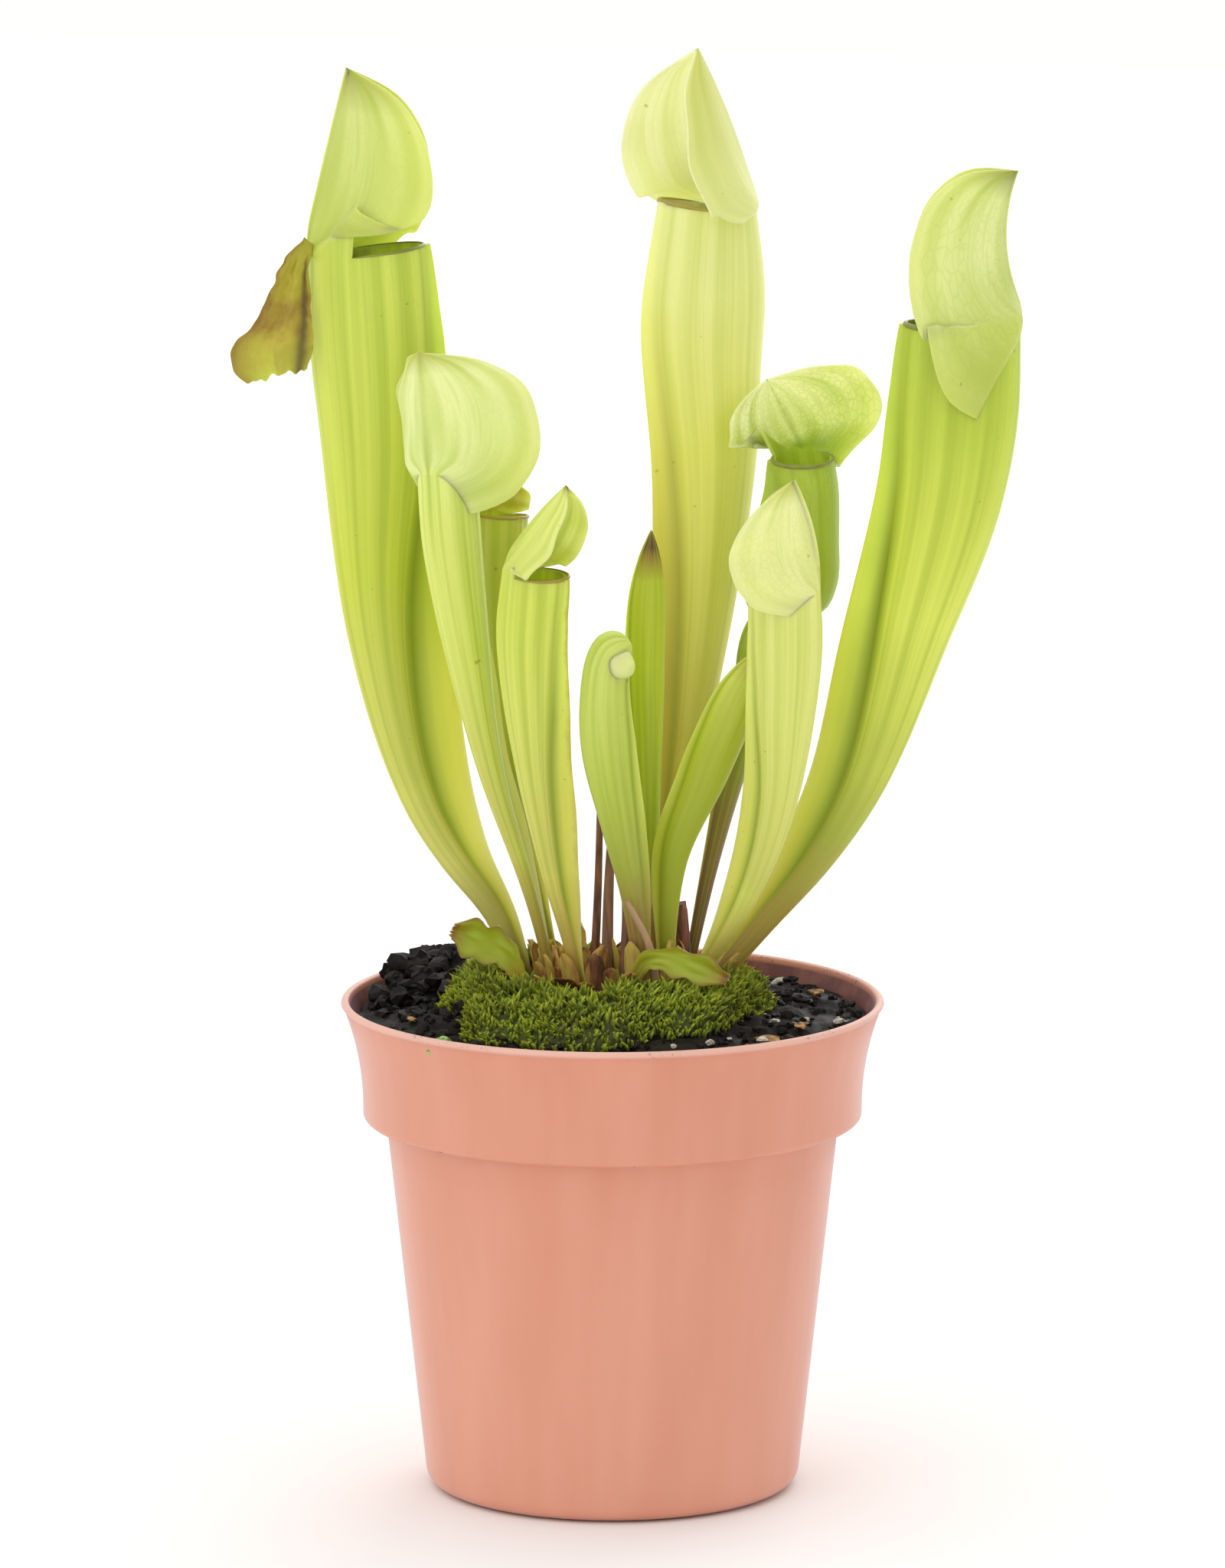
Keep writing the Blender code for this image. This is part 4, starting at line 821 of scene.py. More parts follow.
# %% Leaf finish
def leaf_finish(name, stations, vein="9CAC30", vein_share=0.2, net=0.07, crease_shade="8A9A0E", upper_margin_and_highlight="E4EC98",
                margin_share=0.4, blotch="9A6A34", blotch_share=0.25, glow=0.65, band=0.5,
                wing_margin="8C7C2C", painted_glow_lining=None, flush=0.15):
    """A leaf's skin. stations run from the foot (0) over the lip (0.5) to the hood's tip (1)."""
    made, tree, shader = new_finish(name, stations[len(stations) // 2][1], 0.42, IOR=1.42)
    mark = {m: read_mark(tree, m) for m in Shell.MARKS}
    place = position(tree)
    half = calculate(tree, "MULTIPLY", mark["along"], 0.5)
    cloud = cloud_of(tree, place, 55.0, 3.0)
    drift = remap(tree, cloud, bottom=-0.04, top=0.04)
    shifted = calculate(tree, "ADD", half, drift)
    base_hue = ramp(tree, shifted, *stations)
    over_mouth = remap(tree, mark["along"], low=0.97, high=1.03)
    if painted_glow_lining:
        # Painted light: the hood's inner side is painted paler than its outer side, for light that shines
        # through it
        lit_inside_mask = calculate(tree, "MULTIPLY", over_mouth, mark["inside"])
        base_hue = blend(tree, lit_inside_mask, base_hue, linear(painted_glow_lining))
    # Sun has flushed the lower tube's back and front brown
    ridge = calculate(tree, "SUBTRACT", mark["round"], math.pi / 2)
    off_side = calculate(tree, "ABSOLUTE", ridge)
    flushed = remap(tree, off_side, low=0.8, high=1.5, top=flush)
    low_down = remap(tree, mark["along"], low=0.85, high=0.4)
    flush_mask = calculate(tree, "MULTIPLY", flushed, low_down)
    base_hue = blend(tree, flush_mask, base_hue, linear("A87434"))
    # Broad soft bands of deeper green, 5 mm wide, run up the tube
    spread = {"X": mark["round"], "Y": mark["along"], "Z": mark["inside"]}
    sheet = add_node(tree, "ShaderNodeCombineXYZ", inputs=spread).outputs[0]
    broad_way = stretched(tree, sheet, (3.0, 0.7, 3.0))
    broad = cloud_of(tree, broad_way, 1.0, 1.0)
    band_mask = remap(tree, broad, low=0.44, high=0.64, top=band)
    banded = blend(tree, band_mask, base_hue, linear("A4B62C"))
    # Fibre veins, fine lines that run the whole length
    long_way = stretched(tree, sheet, (11.0, 1.6, 3.0))
    fibres = cloud_of(tree, long_way, 1.0, 2.5)
    fibre_mask = remap(tree, fibres, low=0.5, high=0.68, top=vein_share)
    # The net, which starts near the mouth and covers the hood
    bent = add_node(tree, "ShaderNodeTexNoise", inputs={"Vector": place, "Scale": 260.0, "Detail": 2.0})
    net_way = stretched(tree, sheet, (14.0, 20.0, 3.0))
    swayed = add_node(tree, "ShaderNodeMix", {"data_type": "VECTOR"},
                      {0: 0.16, 4: net_way, 5: bent.outputs["Color"]})
    cells = add_node(tree, "ShaderNodeTexVoronoi", {"feature": "DISTANCE_TO_EDGE"},
                     {"Vector": swayed.outputs[1], "Scale": 1.0})
    lines = remap(tree, cells.outputs["Distance"], low=0.0, high=0.13, bottom=1.0, top=0.0)
    upper = remap(tree, mark["along"], low=0.78, high=1.05, top=net)
    net_mask = calculate(tree, "MULTIPLY", lines, upper)
    veins = calculate(tree, "MAXIMUM", fibre_mask, net_mask)
    veined = blend(tree, veins, banded, linear(vein))
    # Painted shade in the creases, then the margin, which is dry and brown along the wing and pale round the
    # hood as a painted highlight, then tissue that has died back, in blotches and in a few small specks
    crease_shaded = blend(tree, mark["dark"], veined, linear(crease_shade))
    # Painted highlight: the pale colour given to a hood's margin stands for light along its edge; the brown
    # along the wing, and the brown margin given to the scale leaves, is dry tissue
    rim = calculate(tree, "MULTIPLY", mark["edge"], margin_share)
    margin_and_highlight_hue = blend(tree, over_mouth, linear(wing_margin), linear(upper_margin_and_highlight))
    edged = blend(tree, rim, crease_shaded, margin_and_highlight_hue)
    spots = cloud_of(tree, place, 140.0, 5.0, 0.65)
    dying = calculate(tree, "ADD", spots, mark["tone"])
    died = remap(tree, dying, low=0.74, high=0.95, top=blotch_share)
    dots = cloud_of(tree, place, 520.0, 1.0)
    specks = remap(tree, dots, low=0.77, high=0.81, top=0.5)
    marred = calculate(tree, "MAXIMUM", died, specks)
    browned = blend(tree, marred, edged, linear(blotch))
    tree.links.new(browned, shader.inputs["Base Color"])
    rough = remap(tree, cloud, bottom=0.34, top=0.54)
    tree.links.new(rough, shader.inputs["Roughness"])
    relief = calculate(tree, "ADD", fibres, net_mask)
    emboss(tree, shader, relief, 0.12, 0.0003)
    shader.inputs["Subsurface Weight"].default_value = glow
    shader.inputs["Subsurface Radius"].default_value = (0.95, 1.0, 0.45)
    shader.inputs["Subsurface Scale"].default_value = 0.0025
    return made


def lip_finish(name, colour):
    """The nectar roll round the mouth: a smooth, shiny cord of harder tissue."""
    made, tree, shader = new_finish(name, colour, 0.3, IOR=1.45)
    place = position(tree)
    patchy = cloud_of(tree, place, 180.0, 3.0)
    mixed = blend(tree, patchy, linear(colour), linear("A8B04A"))
    tree.links.new(mixed, shader.inputs["Base Color"])
    return made


print("marks that a leaf finish reads:", ", ".join(Shell.MARKS))

# %% [markdown]
# ## The open pitchers
# Eight pitchers have opened. Each has its own route, girth, wing and hood, and the numbers are the solid's
# own, so the fine leaf lies where the coarse one did. The oldest ones are the tallest.

# %% The pitchers' shapes
PITCHERS = {
    "pitcher_left_tall": {
        "route": ((-14.4, 3.6), (-18.4, 5.6, 94.5), (-24.8, 8.0, 105.0), (-29.2, 9.0, 115.0),
                  (-33.0, 10.0, 129.5), (-35.7, 12.0, 147.0), (-37.6, 14.0, 175.0), (-40.4, 14.0, 204.5)),
        "facing": 2.0, "depth": 20.0, "side": 0.66, "wing": 7.5, "mouth_rise": 0.5,
        "lid": {"height": 32.5, "width": (20.5, 20.5), "lean": 18.0, "arch": 2.0, "fold": 52.0, "close": 84.0,
                "hang": (1.5, -9.0), "wrap": 0.3, "roll": 0.0},
    },
    "pitcher_centre_tall": {
        "route": ((6.5, 5.5), (8.8, 9.0, 106.0), (11.0, 12.0, 125.0), (13.6, 16.0, 149.0),
                  (14.8, 19.0, 170.0), (14.5, 20.0, 190.0), (15.7, 20.0, 210.5)),
        "facing": 210.0, "depth": 21.0, "side": 0.78, "wing": 4.5, "mouth_rise": 1.8, "lip": 0.8,
        "lid": {"height": 30.5, "width": (20.5, 20.5), "lean": 20.0, "arch": 14.0, "fold": 30.0,
                "close": 74.0, "hang": (1.0, 1.5), "wrap": 0.5, "roll": 0.0},
    },
    "pitcher_right_tall": {
        "route": ((14.5, -1.0), (23.6, 0.0, 94.0), (31.8, -1.0, 106.0), (39.4, -2.0, 121.0),
                  (46.6, -3.0, 144.0), (53.8, -4.0, 168.0), (57.2, -4.0, 195.0)),
        "facing": 186.0, "depth": 20.0, "side": 0.66, "wing": 6.0, "mouth_rise": -0.8,
        "lid": {"height": 27.0, "width": (21.0, 17.5), "lean": 40.0, "arch": -54.0, "fold": 38.0,
                "close": 88.0, "hang": (14.0, 7.0), "wrap": 1.0, "roll": 0.0},
    },
    "pitcher_left_middle": {
        "route": ((-9.5, 0.5), (-13.7, 0.0, 102.0), (-19.1, -1.0, 121.0), (-23.2, -2.0, 141.0),
                  (-25.8, -2.0, 157.0), (-27.2, -2.5, 171.0)),
        "facing": 58.0, "depth": 11.5, "side": 0.8, "wing": 3.5, "mouth_rise": 0.0,
        "lid": {"height": 20.5, "width": (15.5, 19.5), "lean": -2.0, "arch": 8.0, "fold": 24.0, "close": 60.0,
                "hang": (3.0, 7.0), "wrap": 0.7, "roll": 0.0},
    },
    "pitcher_left_small": {
        "route": ((-5.0, -4.5), (-8.3, -7.0, 103.0), (-11.2, -9.0, 123.0), (-12.9, -11.0, 142.0),
                  (-12.6, -12.0, 155.0)),
        "facing": -28.0, "depth": 11.5, "side": 0.85, "wing": 4.0, "mouth_rise": 0.0,
        "lid": {"height": 19.5, "width": (10.5, 10.0), "lean": 30.0, "arch": 16.0, "fold": 36.0,
                "close": 64.0, "hang": (0.0, -2.0), "wrap": 0.3, "roll": 0.0},
    },
    "pitcher_left_back": {
        "route": ((-8.5, 6.8), (-13.0, 7.0, 103.0), (-17.0, 8.5, 122.0), (-18.9, 11.0, 145.0),
                  (-18.6, 12.0, 161.0)),
        "facing": -50.0, "depth": 10.0, "side": 0.85, "wing": 2.5, "mouth_rise": 0.0,
        "lid": {"height": 8.0, "width": (8.0, 8.0), "lean": 10.0, "arch": 15.0, "fold": 25.0, "close": 55.0,
                "hang": (0.0, 0.0), "wrap": 0.3, "roll": 0.0},
    },
    "pitcher_right_back": {
        "route": ((12.0, 6.0), (16.4, 7.5, 104.0), (22.5, 8.0, 130.0), (28.6, 8.0, 150.0),
                  (31.0, 8.0, 164.0), (31.0, 8.0, 172.0)),
        "facing": 270.0, "depth": 11.0, "side": 0.95, "wing": 7.5, "mouth_rise": -1.5,
        "wing_turn": 77.0, "wing_profile": FLAP_PROFILE,
        "lid": {"height": 13.0, "width": (17.0, 11.0), "lean": -6.0, "arch": 8.0, "fold": 10.0, "close": 30.0,
                "hang": (2.5, -5.5), "wrap": 0.3, "roll": -26.0, "pleats": 0.5},
    },
    "pitcher_right_small": {
        "route": ((11.5, -7.5), (20.0, -10.0, 99.0), (25.4, -13.0, 116.0), (27.7, -15.0, 136.0),
                  (28.4, -16.0, 153.0)),
        "facing": 172.0, "depth": 11.5, "side": 0.85, "wing": 3.0, "mouth_rise": 0.0,
        "lid": {"height": 19.5, "width": (16.0, 14.0), "lean": 0.0, "arch": 30.0, "fold": 42.0, "close": 80.0,
                "hang": (3.0, 1.5), "wrap": 0.6, "roll": 0.0},
    },
}


def whole_route(points):
    """The route of a leaf, with its foot's height filled in."""
    return Route(((*points[0][:2], FOOT_HEIGHT), *points[1:]))


def bead(shell, line, size, finish, sides=8, **marks):
    """A round cord along a line of points, thin at both ends."""
    line = np.asarray(line)
    way = unit(np.gradient(line, axis=0))
    first = unit(np.cross(way, (0.0, 0.0, 1.0)))
    second = np.cross(way, first)
    turn = 2 * np.pi * np.arange(sides) / sides
    thick = size * np.sqrt(np.clip(np.sin(np.linspace(0.03, math.pi - 0.03, len(line))) * 1.6, 0, 1))
    grid = line[:, None] + thick[:, None, None] * (
        first[:, None] * np.cos(turn)[:, None] + second[:, None] * np.sin(turn)[:, None])
    numbers = shell.add(grid, **marks)
    shell.quads(numbers, closed=True, finish=finish)
    for row in (0, -1):
        shell.fan(numbers[row], shell.add([line[row]], **marks)[0], finish=finish)


def pitcher(name, rows=84, hood_rows=36, dead=0.0, lip_size=0.5, fold=0.6):
    """An open pitcher: a hollow tube with a wing, a lip that is rolled outwards, and a hood."""
    spec = PITCHERS[name]
    route = whole_route(spec["route"])
    angles, back = mouth_angles(spec)
    shares = np.concatenate([np.linspace(0.0, 0.9, rows - 16), np.linspace(0.9, 1.0, 17)[1:]])
    hollow = shares[shares >= HOLLOW_FROM]
    around = turn_from(angles)
    away = turn_from(angles, wing_angle(spec))
    reach = curve(spec.get("wing_profile", WING_PROFILE), shares)
    # Painted shade: the dark mark darkens the crease at the wing's root and the keel near the mouth; fold
    # sets how dark the root's painted shade is
    root = np.exp(-(((away - 0.24) / 0.11) ** 2)) * np.clip(reach * 1.4, 0, 1)[:, None]
    keel = np.exp(-((around / 0.12) ** 2)) * blend_step(0.75, 1.0, shares)[:, None] * 0.5
    blade = np.interp(away, BLADE_ANGLES, BLADE_SHARES)
    shell = Shell()
    outer_points = mouth_points(route, spec, shares, angles)
    inner_points = mouth_points(route, spec, hollow, angles, -LEAF_WALL, False)
    brown_foot = 0.25 * (1 - blend_step(0.0, 0.16, shares))[:, None]
    old = dead * blade**2 * blend_step(0.1, 0.4, shares)[:, None] + brown_foot
    outer = shell.add(outer_points, along=shares[:, None], round=around, edge=blade**4 * reach[:, None],
                      dark=np.clip(fold * root + keel, 0, 1), tone=old)
    inner = shell.add(inner_points, along=hollow[:, None], round=around, inside=1.0)
    shell.quads(outer, closed=True)
    shell.quads(inner, closed=True)
    shell.fan(outer[0], shell.add([route.point(0.0)], tone=0.25)[0])
    shell.fan(inner[0], shell.add([inner_points[0].mean(axis=0)], along=hollow[0], inside=1.0)[0])
    # The hood: its first row is the lip's own points
    across = np.linspace(-1.0, 1.0, back)
    ways = [w[0] for w in leaf_frame(route, np.array([1.0]), spec["facing"])]
    keel_start = outer_points[-1, back // 2]
    row = np.linspace(0.0, 0.985, hood_rows)[1:]
    share = np.abs(across)[None, :]
    marks = {
        "along": 1 + row[:, None],
        "round": np.abs(across) * COLUMN_END,
        "edge": share**10,
        # Painted shade along the hood's keel
        "dark": np.exp(-((share / 0.045) ** 2)) * (0.6 - 0.4 * row[:, None]),
        "tone": 0.2 * blend_step(0.93, 1.0, row)[:, None],
    }
    sheets = []
    for lip, numbers, out in ((outer_points[-1], outer[-1], True), (inner_points[-1], inner[-1], False)):
        grid = hood_points(spec, lip[:back], keel_start, ways, row, across, out)
        sheet = shell.add(grid, inside=0.0 if out else 1.0, **marks)
        sheets.append(np.concatenate([numbers[None, :back], sheet]))
        shell.quads(sheets[-1])
    end = hood_points(spec, outer_points[-1][back // 2 : back // 2 + 1], keel_start, ways, np.array([1.0]),
                      np.array([0.0]), True)[0, 0]
    tip = shell.add([end], along=2.0, tone=0.3)[0]
    for sheet in sheets:
        shell.fan(sheet[-1], tip, closed=False)
    for column in (0, -1):
        shell.quads(np.stack([sheets[0][:, column], sheets[1][:, column]], axis=1))
        shell.fan([sheets[0][-1, column], sheets[1][-1, column]], tip, closed=False)
    # The rim round the front of the mouth, and the nectar roll on it
    front = list(range(back - 1, len(angles))) + [0]
    shell.quads(np.stack([outer[-1][front], inner[-1][front]], axis=1))
    roll = mouth_points(route, spec, np.array([1.0]), angles, 0.1 - lip_size / 2, False)[0][front]
    bead(shell, roll, lip_size, 1, along=1.0)
    return shell


print("pitchers:", len(PITCHERS))

# %% Tall pitchers
amber_lip = lip_finish("nectar_roll_amber", "A86A34")
dark_lip = lip_finish("nectar_roll_dark", "54502F")

shell = pitcher("pitcher_left_tall", dead=0.26, lip_size=0.28, fold=0.85)
skin = leaf_finish("leaf_left_tall", [(0.0, "6A4A30"), (0.03, "A2904A"), (0.1, "D6D272"), (0.3, "D2E04C"),
                                      (0.46, "DAEC64"), (0.56, "C8D668"), (0.9, "D2DC86"), (0.995, "98983E")],
                   upper_margin_and_highlight="D4DE7A")
shell.piece("left_tall_pitcher", [skin, dark_lip], "pitcher_leaf", ["pitcher_left_tall"])

shell = pitcher("pitcher_centre_tall", dead=0.1, lip_size=0.4)
skin = leaf_finish("leaf_centre_tall", [(0.0, "6E4030"), (0.04, "9E8A44"), (0.12, "DCCA62"), (0.24, "ECE86C"),
                                        (0.34, "F6F674"), (0.46, "FAFE9A"), (0.56, "EAF0A2"),
                                        (0.995, "C4C664")], painted_glow_lining="FAFCC4", flush=0.42, band=0.25,
                   crease_shade="A8A634", vein="C4C246", upper_margin_and_highlight="F2F6C0", margin_share=0.2, glow=0.5)
shell.piece("centre_tall_pitcher", [skin, amber_lip], "pitcher_leaf", ["pitcher_centre_tall"])

shell = pitcher("pitcher_right_tall", dead=0.12, lip_size=0.45, fold=1.0)
skin = leaf_finish("leaf_right_tall", [(0.0, "6E4A2C"), (0.04, "A07E40"), (0.08, "B89E4C"), (0.15, "B4BA4C"),
                                       (0.3, "E6F662"), (0.44, "C4D848"), (0.53, "BCCE4E"), (0.6, "C4D264"),
                                       (0.76, "E2ECA0"), (0.9, "DCE698"), (0.995, "84843A")], net=0.16,
                   upper_margin_and_highlight="CEDA78", blotch_share=0.4)
shell.piece("right_tall_pitcher", [skin, dark_lip], "pitcher_leaf", ["pitcher_right_tall"])

# %% Middle and small pitchers
shell = pitcher("pitcher_left_middle", dead=0.3, lip_size=0.3, fold=0.75)
skin = leaf_finish("leaf_left_middle", [(0.0, "744A34"), (0.05, "B0984A"), (0.14, "DCE072"), (0.34, "E0F272"),
                                        (0.46, "E4F47C"), (0.56, "DCE89C"), (0.9, "E2EAA8"),
                                        (0.995, "B0B060")], flush=0.3)
shell.piece("left_middle_pitcher", [skin, amber_lip], "pitcher_leaf", ["pitcher_left_middle"])

shell = pitcher("pitcher_left_small", dead=0.45, lip_size=0.3, fold=0.75)
skin = leaf_finish("leaf_left_small", [(0.0, "7C4C34"), (0.06, "C09A54"), (0.16, "DEDA6E"), (0.36, "DEEA68"),
                                       (0.47, "D8E85E"), (0.56, "D6E276"), (0.97, "DAE484"),
                                       (0.995, "A08A50")], blotch_share=0.45)
shell.piece("left_small_pitcher", [skin, amber_lip], "pitcher_leaf", ["pitcher_left_small"])

shell = pitcher("pitcher_left_back", dead=0.3, lip_size=0.3)
skin = leaf_finish("leaf_left_back", [(0.0, "6A4230"), (0.06, "9A9040"), (0.2, "B2BC42"), (0.4, "C0C846"),
                                      (0.5, "C8C856"), (0.7, "C9BE6C"), (0.995, "9A6A3A")], blotch_share=0.5)
shell.piece("left_back_pitcher", [skin, amber_lip], "pitcher_leaf", ["pitcher_left_back"])

shell = pitcher("pitcher_right_back", dead=0.2, lip_size=0.35)
skin = leaf_finish("leaf_right_back", [(0.0, "6A3A34"), (0.08, "80524A"), (0.15, "96784A"), (0.22, "949E38"),
                                       (0.34, "A4B63C"), (0.48, "B2C448"), (0.535, "94AA30"),
                                       (0.62, "D4DE8E"), (0.995, "F0F4BC")], net=0.28, vein="7C921C")
shell.piece("right_back_pitcher", [skin, dark_lip], "pitcher_leaf", ["pitcher_right_back"])

shell = pitcher("pitcher_right_small", dead=0.25, lip_size=0.3, fold=0.7)
skin = leaf_finish("leaf_right_small", [(0.0, "6E4A2C"), (0.06, "B09E4C"), (0.16, "DADE6E"), (0.36, "E6EE7C"),
                                        (0.47, "E8EE84"), (0.54, "EEF29C"), (0.9, "F2F6A8"),
                                        (0.995, "B8B860")], net=0.12, vein="9DB040", band=0.3)
shell.piece("right_small_pitcher", [skin, amber_lip], "pitcher_leaf", ["pitcher_right_small"])

# %% [markdown]
# ## The withered ear
# One lobe of the tall left hood has dried and folded back down the tube's side. Dry leaf is brown, matt
# and crumpled, with olive and yellow where it died last. It is a sheet stretched between two borders, the
# free one and the one that lies along the tube, and noise creases it. The crumples are in the mesh and not
# in a bump, because they show at its outline.

# %% Withered ear finish
dry_ear, tree, shader = new_finish("withered_hood_lobe", "A88A30", 0.75)
mark = {m: read_mark(tree, m) for m in ("along", "edge", "dark")}
place = position(tree)
blot = cloud_of(tree, place, 210.0, 5.0, 0.65)
spread = remap(tree, blot, bottom=-0.3, top=0.3)
moved = calculate(tree, "ADD", mark["along"], spread)
hue = ramp(tree, moved, (0.0, "B0AC3C"), (0.35, "B2A632"), (0.55, "A08430"), (0.74, "BEB242"),
           (1.0, "C2C848"))
rusty = blend(tree, mark["edge"], hue, linear("7E5826"))
streaked = blend(tree, mark["dark"], rusty, linear("4C3A12"))
tree.links.new(streaked, shader.inputs["Base Color"])
emboss(tree, shader, blot, 0.5, 0.0004)
shader.inputs["Subsurface Weight"].default_value = 0.3
shader.inputs["Subsurface Radius"].default_value = (1.0, 0.9, 0.3)
shader.inputs["Subsurface Scale"].default_value = 0.0015

# %% Withered ear
free_border = Route(((-50.8, 10.6, 207.6), (-54.4, 8.2, 203.5), (-56.8, 6.4, 198.0), (-59.2, 5.0, 193.5),
                     (-62.6, 4.2, 190.0), (-62.4, 3.8, 186.5), (-60.2, 3.4, 184.4)))
tube_border = Route(((-49.2, 12.4, 206.0), (-50.0, 9.8, 201.5), (-49.6, 8.6, 196.0), (-49.2, 8.0, 190.5),
                     (-50.2, 6.4, 186.4)))
rows, across = np.linspace(0.0, 1.0, 64), np.linspace(0.0, 1.0, 29)
left, right = free_border.point(rows), tube_border.point(rows)
torn = np.array([0.9 * noise.noise(Vector((0.0, 11.0 * s, 4.0))) for s in rows])
left = left + np.stack([torn, 0 * torn, 0 * torn], axis=1)
sheet = left[:, None] * (1 - across)[None, :, None] + right[:, None] * across[None, :, None]
crumple = np.array([[0.9 * noise.noise(Vector((4 * s, 4 * u, 1.0)))
                     + 0.5 * noise.noise(Vector((13 * s, 11 * u, 6.0)))
                     for u in across] for s in rows]) * np.minimum(1.0, 5 * rows)[:, None]
hem = np.array([1.3 * noise.noise(Vector((8 * u, 0.0, 2.0))) for u in across])
hem = hem[None] * blend_step(0.85, 1, rows)[:, None]
streak = np.exp(-(((across - 0.86) / 0.08) ** 2))[None] * blend_step(0.05, 0.2, rows)[:, None] * 0.8
rust = (1 - across)[None] ** 6 * 0.7 + 0.25 * blend_step(0.72, 0.85, rows)[:, None] * (across > 0.5)
shell = Shell()
grids = []
for face in (-1, 1):
    grid = sheet + np.stack([0.3 * crumple, crumple + 0.3 * face, hem], axis=-1)
    grids.append(shell.add(grid, along=rows[:, None], edge=np.clip(rust, 0, 0.85), dark=streak))
    shell.quads(grids[-1])
shell.join_borders(grids)
shell.piece("withered_ear", [dry_ear], "pitcher_leaf")

# %% [markdown]
# ## Young leaves
# Young pitchers are still shut: slim spindles with a low wing and a tip that the hood will open from. One
# is curled over at its top, with the pale young hood tucked in like a ball. Two small scale leaves lie on
# the moss. They are made like the tubes, without the hollow.

# %% Young leaves' shapes
BUDS = {
    "young_pitcher_curled": {
        "route": ((5.2, -6.6), (3.8, -8.4, 101.0), (1.8, -10.5, 113.0), (-0.6, -12.0, 126.0),
                  (-1.2, -12.5, 136.5), (0.0, -12.5, 142.0), (3.0, -12.5, 143.8)),
        "facing": 0.0, "depth": 8.2, "side": 0.85, "wing": 1.4, "end": 0.85,
    },
    "young_pitcher_leaning": {
        "route": ((9.0, -3.0), (9.4, -4.5, 106.0), (15.0, -5.5, 121.0), (20.6, -6.5, 134.0),
                  (24.0, -7.0, 141.5)),
        "facing": 180.0, "depth": 7.4, "side": 0.6, "wing": 1.6, "end": 0.25,
    },
    "young_pitcher_back": {
        "route": ((3.5, 0.5), (5.4, 1.0, 104.0), (5.2, 2.0, 122.0), (5.4, 3.0, 142.0), (6.4, 3.0, 160.0)),
        "facing": 180.0, "depth": 5.8, "side": 0.7, "wing": 1.4, "end": 0.2,
    },
    "stub_leaf_left": {
        "route": ((-14.5, -4.5), (-17.0, -5.0, 90.0), (-21.5, -5.0, 92.5), (-26.5, -5.0, 94.5)),
        "facing": 80.0, "depth": 2.4, "side": 2.4, "wing": 0.2, "end": 0.4,
    },
    "scale_leaf_front": {
        "route": ((2.6, -9.3), (5.5, -12.0, 90.5), (12.0, -16.0, 90.8), (19.0, -18.0, 88.8)),
        "facing": 90.0, "depth": 1.5, "side": 3.0, "wing": 0.1, "end": 0.4,
    },
}


def bud(name, rows=70, columns=44):
    """A shut leaf: rings that close to a rounded tip."""
    spec = BUDS[name]
    route = whole_route(spec["route"])
    blade = [math.pi + s * a for a in BLADE_ANGLES[:7] for s in (-1, 1)]
    angles = np.array(sorted(set(np.linspace(0, 2 * math.pi, columns, endpoint=False)) | set(blade)))
    angles = angles[np.concatenate([[True], np.diff(angles) > 0.01])]
    rounded = 0.94 + 0.06 * np.sin(np.linspace(0, 0.5, 9)[1:] * math.pi)
    shares = np.concatenate([np.linspace(0.0, 0.94, rows), rounded])
    grid = tube_points(route, spec, BUD_PROFILE + ((1.0, spec["end"]),), shares, angles, sway=0.05)
    centre = route.point(shares)[:, None]
    closing = np.sqrt(np.clip(1 - (np.clip(shares - 0.94, 0, 1) / 0.06) ** 2, 0.0004, 1))[:, None, None]
    grid = centre + (grid - centre) * closing
    around = turn_from(angles)
    blade = np.interp(np.abs(angles - math.pi), BLADE_ANGLES, BLADE_SHARES)
    # Painted shade in the crease at the wing's root
    root = np.exp(-(((np.abs(angles - math.pi) - 0.25) / 0.1) ** 2)) * 0.5
    shell = Shell()
    low = 0.25 * (1 - blend_step(0.0, 0.16, shares))[:, None]
    skin = shell.add(grid, along=2 * shares[:, None], round=around, edge=blade**4,
                     dark=root, tone=low)
    shell.quads(skin, closed=True)
    shell.fan(skin[0], shell.add([route.point(0.0)], tone=0.25)[0])
    shell.fan(skin[-1], shell.add([route.point(1.0)], along=2.0)[0])
    return shell


# %% Young leaves
shell = bud("young_pitcher_curled")
points, faces = ball(3)
seed = Vector((4.0, 1.0, 2.0))
pull = np.array([1 + 0.22 * noise.noise(Vector(p) * 1.3 + seed) for p in points])
knob = shell.add(points * pull[:, None] * (2.3, 1.7, 2.3) + (1.5, -14.6, 140.4), along=1.9, round=0.2,
                 tone=-0.1)
shell.faces += knob[faces].tolist()
shell.finishes += [1] * len(faces)
skin = leaf_finish("young_leaf_curled", [(0.0, "6A3832"), (0.1, "8E4F46"), (0.22, "A27A48"), (0.38, "B4BC50"),
                                         (0.6, "C2D056"), (0.995, "D2DE74")], net=0.05, margin_share=0.2)
pale = leaf_finish("young_hood_pale", [(0.0, "CFDC74"), (0.995, "E2EA9C")], net=0.0, vein_share=0.1)
shell.piece("curled_young_pitcher", [skin, pale], "young_leaf", ["young_pitcher_curled"])

skin = leaf_finish("young_leaf_leaning", [(0.0, "7A4A32"), (0.08, "A69E3A"), (0.3, "A8B42C"), (0.7, "B8C234"),
                                          (0.9, "D0D65C"), (0.995, "B7A650")], net=0.05, margin_share=0.25)
bud("young_pitcher_leaning").piece("leaning_young_pitcher", [skin], "young_leaf", ["young_pitcher_leaning"])

